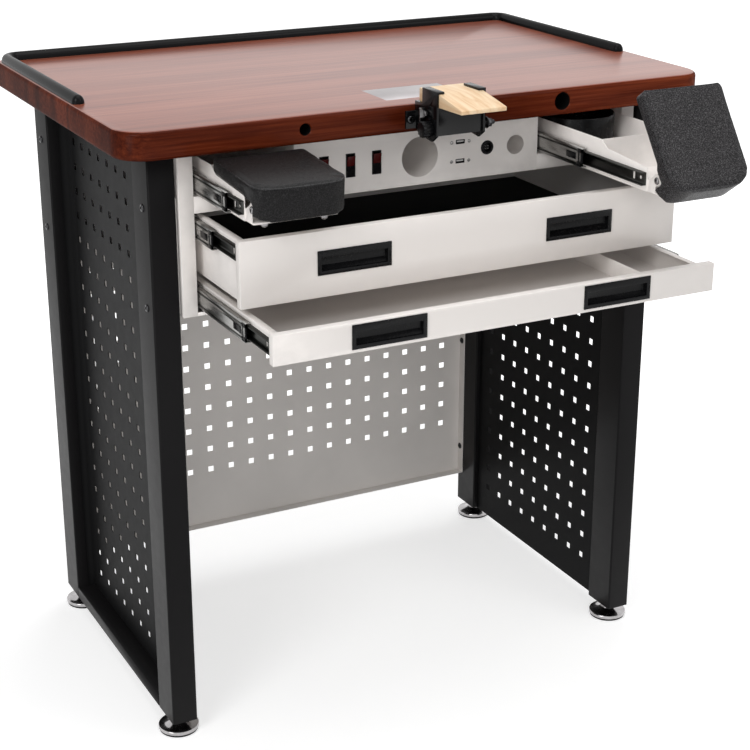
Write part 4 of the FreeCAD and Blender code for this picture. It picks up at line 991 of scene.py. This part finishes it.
SOCKET_SHELL = [(6.5, 0.6), (7.2, 0), (9.2, 0), (10, 0.8), (10, 2), (8, 2), (8, 20), (0, 20), (0, 16), (6.5, 16),
                (6.5, 0.6)]
SOCKET_CORE = [(0, 11), (0, 0), (4.6, 0), (4.9, 0.4), (4.9, 11)]
SOCKET_PIN = [(0, 0), (0.5, 0.3), (0.6, 1), (0.6, 6)]
SOCKET_CORE_IN = 5 * MM
SOCKET_PIN_IN = 1.5 * MM
SOCKET_PIN_RING = 2.6 * MM
SOCKET_PINS = 4


def in_metres(profile):
    return [(radius * MM, height * MM) for radius, height in profile]


def make_round_socket():
    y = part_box("round_socket")[0].y
    x, z = SOCKET_AT
    form = bmesh.new()
    put_lathe(form, "y", (x, y, z), in_metres(SOCKET_SHELL), 64)
    put_lathe(form, "y", (x, y + SOCKET_CORE_IN, z), in_metres(SOCKET_CORE), 48)
    weld(form)
    finish_form("round_socket_shell", form, "black_plastic", BENCH, replaces=("round_socket",), angle=40)
    pins = bmesh.new()
    for k in range(SOCKET_PINS):
        a = math.radians(45 + 360 * k / SOCKET_PINS)
        at = (x + SOCKET_PIN_RING * math.cos(a), y + SOCKET_PIN_IN, z + SOCKET_PIN_RING * math.sin(a))
        put_lathe(pins, "y", at, in_metres(SOCKET_PIN), 12)
    finish_form("round_socket_pins", pins, "zinc_steel", BENCH)


SLOT_SCREW = (2.5 * MM, 1 * MM)
SLOT_SCREW_X = 14 * MM


def make_slot_screws():
    form = bmesh.new()
    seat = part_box("slot_screws")[0].y + SLOT_SCREW[1]
    for z in SLOT_Z:
        for way in (-1, 1):
            put_dome_head(form, "y", (SLOT_X + way * SLOT_SCREW_X, seat, z), -1, *SLOT_SCREW)
    finish_form("slot_screw_heads", form, "zinc_steel", BENCH, ("slot_screws",), angle=45)


# Parts dish with its ribs
DISH_FLOOR = 836 * MM
DISH_WALL = 2.4 * MM
DISH_HUB_R = 13.5 * MM
DISH_RIBS = 4
DISH_TURN = 15
DISH_RIB_FROM = 12 * MM
DISH_RIB_BELOW = 8 * MM


def make_dish():
    low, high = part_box("parts_dish")
    x, y = (low.x + high.x) / 2, (low.y + high.y) / 2
    r = (high.x - low.x) / 2
    bore = r - DISH_WALL
    body = body_of("parts_dish")
    form = bmesh.new()
    profile = [(bore, low.z), (r - 0.6 * MM, low.z), (r, low.z + 0.6 * MM), (r, high.z - 1.2 * MM),
               (r - 0.6 * MM, high.z - 0.2 * MM), (r - 1.2 * MM, high.z), (bore + 0.4 * MM, high.z - 0.4 * MM),
               (bore, high.z - 1.4 * MM), (bore, DISH_FLOOR + 3 * MM), (bore - 1 * MM, DISH_FLOOR + 0.8 * MM),
               (bore - 3 * MM, DISH_FLOOR), (DISH_HUB_R, DISH_FLOOR), (DISH_HUB_R - 0.5 * MM, high.z - 5 * MM),
               (DISH_HUB_R - 1.5 * MM, high.z - 4 * MM), (6 * MM, high.z - 4 * MM), (5 * MM, high.z - 6 * MM),
               (0, high.z - 6 * MM), (0, DISH_FLOOR - DISH_WALL), (bore, DISH_FLOOR - DISH_WALL), (bore, low.z)]
    put_lathe(form, "z", (x, y, 0), profile, ROUND_SIDES)
    weld(form)
    finish_form("parts_dish_bowl", form, "black_plastic", body, replaces=("parts_dish",), angle=40)
    ribs = bmesh.new()
    for k in range(DISH_RIBS):
        verts = put_box(ribs, (DISH_RIB_FROM, -DISH_WALL / 2, DISH_FLOOR - 0.5 * MM),
                        (r - DISH_WALL / 2, DISH_WALL / 2, high.z - DISH_RIB_BELOW))
        angle = math.radians(360 * k / DISH_RIBS + DISH_TURN)
        turn = Matrix.Translation((x, y, 0)) @ Matrix.Rotation(angle, 4, "Z")
        bmesh.ops.transform(ribs, matrix=turn, verts=verts)
    finish_form("parts_dish_ribs", ribs, "black_plastic", body, width=0.5 * MM)


# Rockers in two colours, the slides' small parts, and pieces that keep their solid's form
def make_rockers():
    for number in (1, 2, 3):
        piece = dressed("rocker_%d" % number, "red_plastic")
        piece.data.materials.append(MATERIALS["black_plastic"])
        for face in piece.data.polygons:
            face.material_index = 1 if face.center.z < FITTING_Z else 0
    dressed("switch_frames", "black_plastic", 0.3 * MM, 1)


SLIDES = ("upper", "lower", "left", "right")
SLIDE_WALL = 337 * MM
PARTITION = 192 * MM
MIDDLE_FACE = 2.0 * MM
MIDDLE_T = 1.2 * MM
BALL_R = 1.35 * MM
BALL_X = 6.7 * MM
BALL_Z = 10.6 * MM
BALL_FROM = 6 * MM
BALL_STEP = 7 * MM
BALLS = 10


def make_ball_cages():
    # balls show between the lips of each pulled-out middle member
    for key in SLIDES:
        low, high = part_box(key + "_slide_middles")
        form = bmesh.new()
        for x, way in slide_walls(key):
            for side in (-1, 1):
                z = (low.z + high.z) / 2 + side * BALL_Z
                for k in range(BALLS):
                    at = Matrix.Translation((x + way * BALL_X, low.y + BALL_FROM + k * BALL_STEP, z))
                    bmesh.ops.create_icosphere(form, subdivisions=2, radius=BALL_R, matrix=at)
        finish_form(key + "_slide_balls", form, "chrome", body_of(key + "_slide_middles"), angle=180)


def slide_walls(key):
    # where each slide is fixed, and the way it faces
    return {"left": ((-SLIDE_WALL, 1), (-PARTITION, -1)),
            "right": ((PARTITION, 1), (SLIDE_WALL, -1))}.get(key, ((-SLIDE_WALL, 1), (SLIDE_WALL, -1)))


PROUD = 0.8 * MM
TRACK_PROUD = 0.2 * MM
CATCH_BACK = 0.6 * MM
CATCH_AHEAD = 0.5 * MM
CATCH_HALF = 12.2 * MM
CATCH_L = 3 * MM
CATCH_ARM = (9.4 * MM, 2.8 * MM, 12 * MM)
CATCH_BAR = (7.5 * MM, 10 * MM, 8 * MM)
LEVER = (15 * MM, 39 * MM, 4.6 * MM)
LEVER_BACK = 0.5 * MM
TRACK = (9.2 * MM, 1.3 * MM)
TRACK_ENDS = (13 * MM, 2 * MM)


def put_plate(form, x, way, depths, ys, z, half):
    # a plate on a slide, between two depths from the wall that carries it
    a, b = sorted(x + way * depth for depth in depths)
    put_box(form, (a, ys[0], z - half), (b, ys[1], z + half))


def make_slide_details():
    # black end piece and release lever, and the rolled ball tracks along each middle member
    front = MIDDLE_FACE + MIDDLE_T + PROUD
    for key in SLIDES:
        node = key + "_slide_middles"
        low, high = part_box(node)
        z = (low.z + high.z) / 2
        end = low.y - CATCH_AHEAD
        catches, tracks = bmesh.new(), bmesh.new()
        for x, way in slide_walls(key):
            catch = (MIDDLE_FACE - CATCH_BACK, front)
            put_plate(catches, x, way, catch, (end, end + CATCH_L), z, CATCH_HALF)
            off, half, length = CATCH_ARM
            for side in (-1, 1):
                put_plate(catches, x, way, catch, (end, end + length), z + side * off, half)
            start, stop, half = CATCH_BAR
            put_plate(catches, x, way, catch, (end + start, end + stop), z, half)
            start, stop, half = LEVER
            put_plate(catches, x, way, (MIDDLE_FACE - LEVER_BACK, front), (low.y + start, low.y + stop), z, half)
            off, half = TRACK
            for side in (-1, 1):
                put_plate(tracks, x, way, (MIDDLE_FACE - LEVER_BACK, MIDDLE_FACE + TRACK_PROUD),
                          (low.y + TRACK_ENDS[0], high.y - TRACK_ENDS[1]), z + side * off, half)
        body = body_of(node)
        finish_form(key + "_slide_catches", catches, "black_plastic", body, width=0.3 * MM)
        # the tracks take the darkened zinc: painted shade of the grooves
        finish_form(key + "_slide_tracks", tracks, "zinc_painted_shade", body, width=0.25 * MM)


SLOT_CORE = (6.1 * MM, 2.5 * MM, 11 * MM, 2.2 * MM)
SLOT_TONGUE = (5.4 * MM, 0.6 * MM, 3 * MM, -0.4 * MM, 1.5 * MM)


def make_socket_cores():
    # black insulating block and pale tongue inside each slot socket
    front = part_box("slot_sockets")[0].y
    form, tongues = bmesh.new(), bmesh.new()
    for z in SLOT_Z:
        half_w, start, stop, half_h = SLOT_CORE
        put_box(form, (SLOT_X - half_w, front + start, z - half_h), (SLOT_X + half_w, front + stop, z + half_h))
        half_w, start, stop, below, above = SLOT_TONGUE
        put_box(tongues, (SLOT_X - half_w, front + start, z + below), (SLOT_X + half_w, front + stop, z + above))
    finish_form("slot_socket_cores", form, "black_plastic", BENCH, width=0.15 * MM)
    finish_form("slot_socket_tongues", tongues, "pale_plastic", BENCH, width=0.15 * MM)


INLET_PINS = ((-7 * MM, -2 * MM), (0, 2 * MM), (7 * MM, -2 * MM))
INLET_PIN = Vector((1.05 * MM, 0, 2.05 * MM))
INLET_PIN_Y = (-15 * MM, -3.2 * MM)


def make_inlet_pins():
    low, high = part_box("mains_inlet")
    form = bmesh.new()
    for dx, dz in INLET_PINS:
        at = Vector(((low.x + high.x) / 2 + dx, high.y, (low.z + high.z) / 2 + dz))
        put_box(form, at - INLET_PIN + Vector((0, INLET_PIN_Y[0], 0)), at + INLET_PIN + Vector((0, INLET_PIN_Y[1], 0)))
    finish_form("mains_inlet_pins", form, "zinc_steel", BENCH, width=0.3 * MM)


PLAIN = (
    # material, slot, rounding in mm and its steps, nodes
    ("white_paint", "white_paint", 0.25, 1, (
        "cabinet_left_side", "cabinet_right_side", "cabinet_back", "cabinet_floor", "utility_box", "armrest_rails",
        "upper_drawer_body", "lower_drawer_body", "lower_drawer_divider", "left_armrest_tray", "right_armrest_tray")),
    ("zinc_steel", "zinc_steel", 0.25, 1, (
        "slide_channels", "upper_slide_middles", "lower_slide_middles", "left_slide_middles", "right_slide_middles",
        "left_pad_bracket", "right_pad_bracket")),
    # the slot sockets' zinc shells take blackened steel: painted shade of the socket mouths
    ("blackened_steel", "zinc_steel", 0.25, 1, ("slot_sockets",)),
    # the inner members take the darkened zinc: painted shade beside the drawer sides
    ("zinc_painted_shade", "zinc_steel", 0.25, 1, (
        "upper_slide_inners", "lower_slide_inners", "left_slide_inners", "right_slide_inners")),
    ("plate_steel", "zinc_steel", 0.25, 1, ("bench_plate",)),
    ("white_paint", "white_paint", 0.9, 3, ("upper_drawer_front", "lower_drawer_front")),
    ("black_plastic", "black_plastic", 0.6, 2, ("upper_handles", "lower_handles")),
    ("charcoal_paint", "charcoal_paint", 0.3, 1, ("left_side_frame", "right_side_frame")),
    # the side panels take the darker charcoal: painted shade of the recess
    ("charcoal_painted_shade", "charcoal_paint", 0, 1, ("left_side_panel", "right_side_panel")),
    ("grey_paint", "grey_paint", 0, 1, ("back_panel",)),
    ("black_paint", "black_paint", 0.6, 2, ("pin_bracket",)),
    ("pin_wood", "pin_wood", 1.0, 3, ("bench_pin",)),
    ("black_plastic", "black_plastic", 0.6, 2, ("mains_inlet",)),
    ("liner_rubber", "black_rubber", 0.6, 2, ("upper_drawer_liner",)),
)


def make_plain_pieces():
    for material, slot, width, steps, nodes in PLAIN:
        for node in nodes:
            dressed(node, material, width * MM, steps)


def make_pieces():
    make_worktop()
    make_edge_lip()
    for node in ("foot_front_left", "foot_front_right", "foot_back_left", "foot_back_right"):
        make_foot(node)
    make_frame_screws()
    make_bracket_screws()
    make_tray_fasteners("left")
    make_tray_fasteners("right")
    make_clamp_screw()
    # the thumb screw takes the darkened chrome: painted dark reflection
    dressed("thumb_screw", "chrome_painted_dark")
    make_fascia()
    make_tubes()
    make_round_socket()
    make_slot_screws()
    make_dish()
    make_rockers()
    make_ball_cages()
    make_slide_details()
    make_socket_cores()
    make_inlet_pins()
    make_plain_pieces()
    make_pad("left", LEFT_TILT)
    make_pad("right", RIGHT_TILT)


# Floor, light and camera
def camera_ray_mix(tree, own, seen):
    # own strength for what lights the object, seen for what the camera, gloss and glass look at
    path = tree.nodes.new("ShaderNodeLightPath")
    reach = maths(tree, "MAXIMUM", path.outputs["Is Camera Ray"], path.outputs["Is Glossy Ray"])
    return span(tree, maths(tree, "MAXIMUM", reach, path.outputs["Is Transmission Ray"]), own, seen)


WORLD_LIGHT = 0.3
WORLD_SEEN = 1.0


def make_world():
    world = bpy.data.worlds.new("studio")
    bpy.context.scene.world = world
    world.use_nodes = True
    tree = world.node_tree
    background = tree.nodes["Background"]
    feed(tree, background, {"Color": (1, 1, 1, 1), "Strength": camera_ray_mix(tree, WORLD_LIGHT, WORLD_SEEN)})


FLOOR_HALF = 14.0
FLOOR_PAPER = (0.62, 0.62, 0.62)
FLOOR_GLOW = (0.60, 1.0)
FLOOR_GLOW_REACH = (0.7, 1.9)


def make_floor():
    # white paper, whose own glow grows away from the bench and is seen but lights nothing
    mesh = bpy.data.meshes.new("floor")
    corners = [(-1, -1), (1, -1), (1, 1), (-1, 1)]
    mesh.from_pydata([(x * FLOOR_HALF, y * FLOOR_HALF, 0) for x, y in corners], [], [(0, 1, 2, 3)])
    floor = add_to_scene("floor", mesh)
    tree, shader = new_material("floor_paper", FLOOR_PAPER, 0.85, gloss=0.1)
    where = tree.nodes.new("ShaderNodeTexCoord")
    reach = tree.nodes.new("ShaderNodeVectorMath")
    reach.operation = "LENGTH"
    tree.links.new(where.outputs["Object"], reach.inputs[0])
    glow = span(tree, reach.outputs["Value"], *FLOOR_GLOW, *FLOOR_GLOW_REACH)
    shown = maths(tree, "MULTIPLY", glow, camera_ray_mix(tree, 0.0, 1.0))
    feed(tree, shader, {"Emission Color": (1, 1, 1, 1), "Emission Strength": shown})
    mesh.materials.append(MATERIALS["floor_paper"])


LAMPS = (
    # name, place, aim, size, watts, and whether glossy pieces mirror it
    ("key", (-2.6, -1.9, 2.7), (0, 0, 0.5), 1.6, 43, True),
    ("front", (-0.9, -3.3, 1.2), (0, 0, 0.5), 2.0, 27, False),
    ("top", (0.1, -0.3, 3.2), (0, 0, 0.6), 2.4, 34, True),
    ("fill", (1.5, -2.2, 2.7), (0.3, -0.3, 0.8), 1.2, 10, True),
    ("left", (-2.8, -1.3, 0.7), (0, 0, 0.6), 1.2, 9, True),
    ("back", (1.3, 1.9, 2.6), (0, 0, 0.8), 1.8, 27, False),
)


def make_lamp(name, at, aim, size, watts, mirrored):
    lamp = bpy.data.lights.new(name, "AREA")
    lamp.shape = "DISK"
    lamp.size = size
    lamp.energy = watts
    holder = add_to_scene(name, lamp)
    holder.location = at
    holder.rotation_euler = (Vector(aim) - Vector(at)).to_track_quat("-Z", "Y").to_euler()
    holder.visible_glossy = mirrored


def make_camera():
    camera = bpy.data.cameras.new("photo_camera")
    camera.sensor_width = SENSOR_MM
    camera.lens = FOCAL_PX / IMAGE_PX * SENSOR_MM
    holder = add_to_scene("photo_camera", camera)
    holder.location = (CAMERA_X, CAMERA_Y, CAMERA_Z)
    holder.rotation_euler = (math.radians(90 - CAMERA_PITCH), 0, -math.radians(CAMERA_YAW))
    bpy.context.scene.camera = holder


def make_studio():
    bpy.context.scene.view_settings.view_transform = "Standard"
    make_world()
    make_floor()
    for lamp in LAMPS:
        make_lamp(*lamp)
    make_camera()


make_materials()
make_pieces()
make_studio()
bpy.context.view_layer.update()
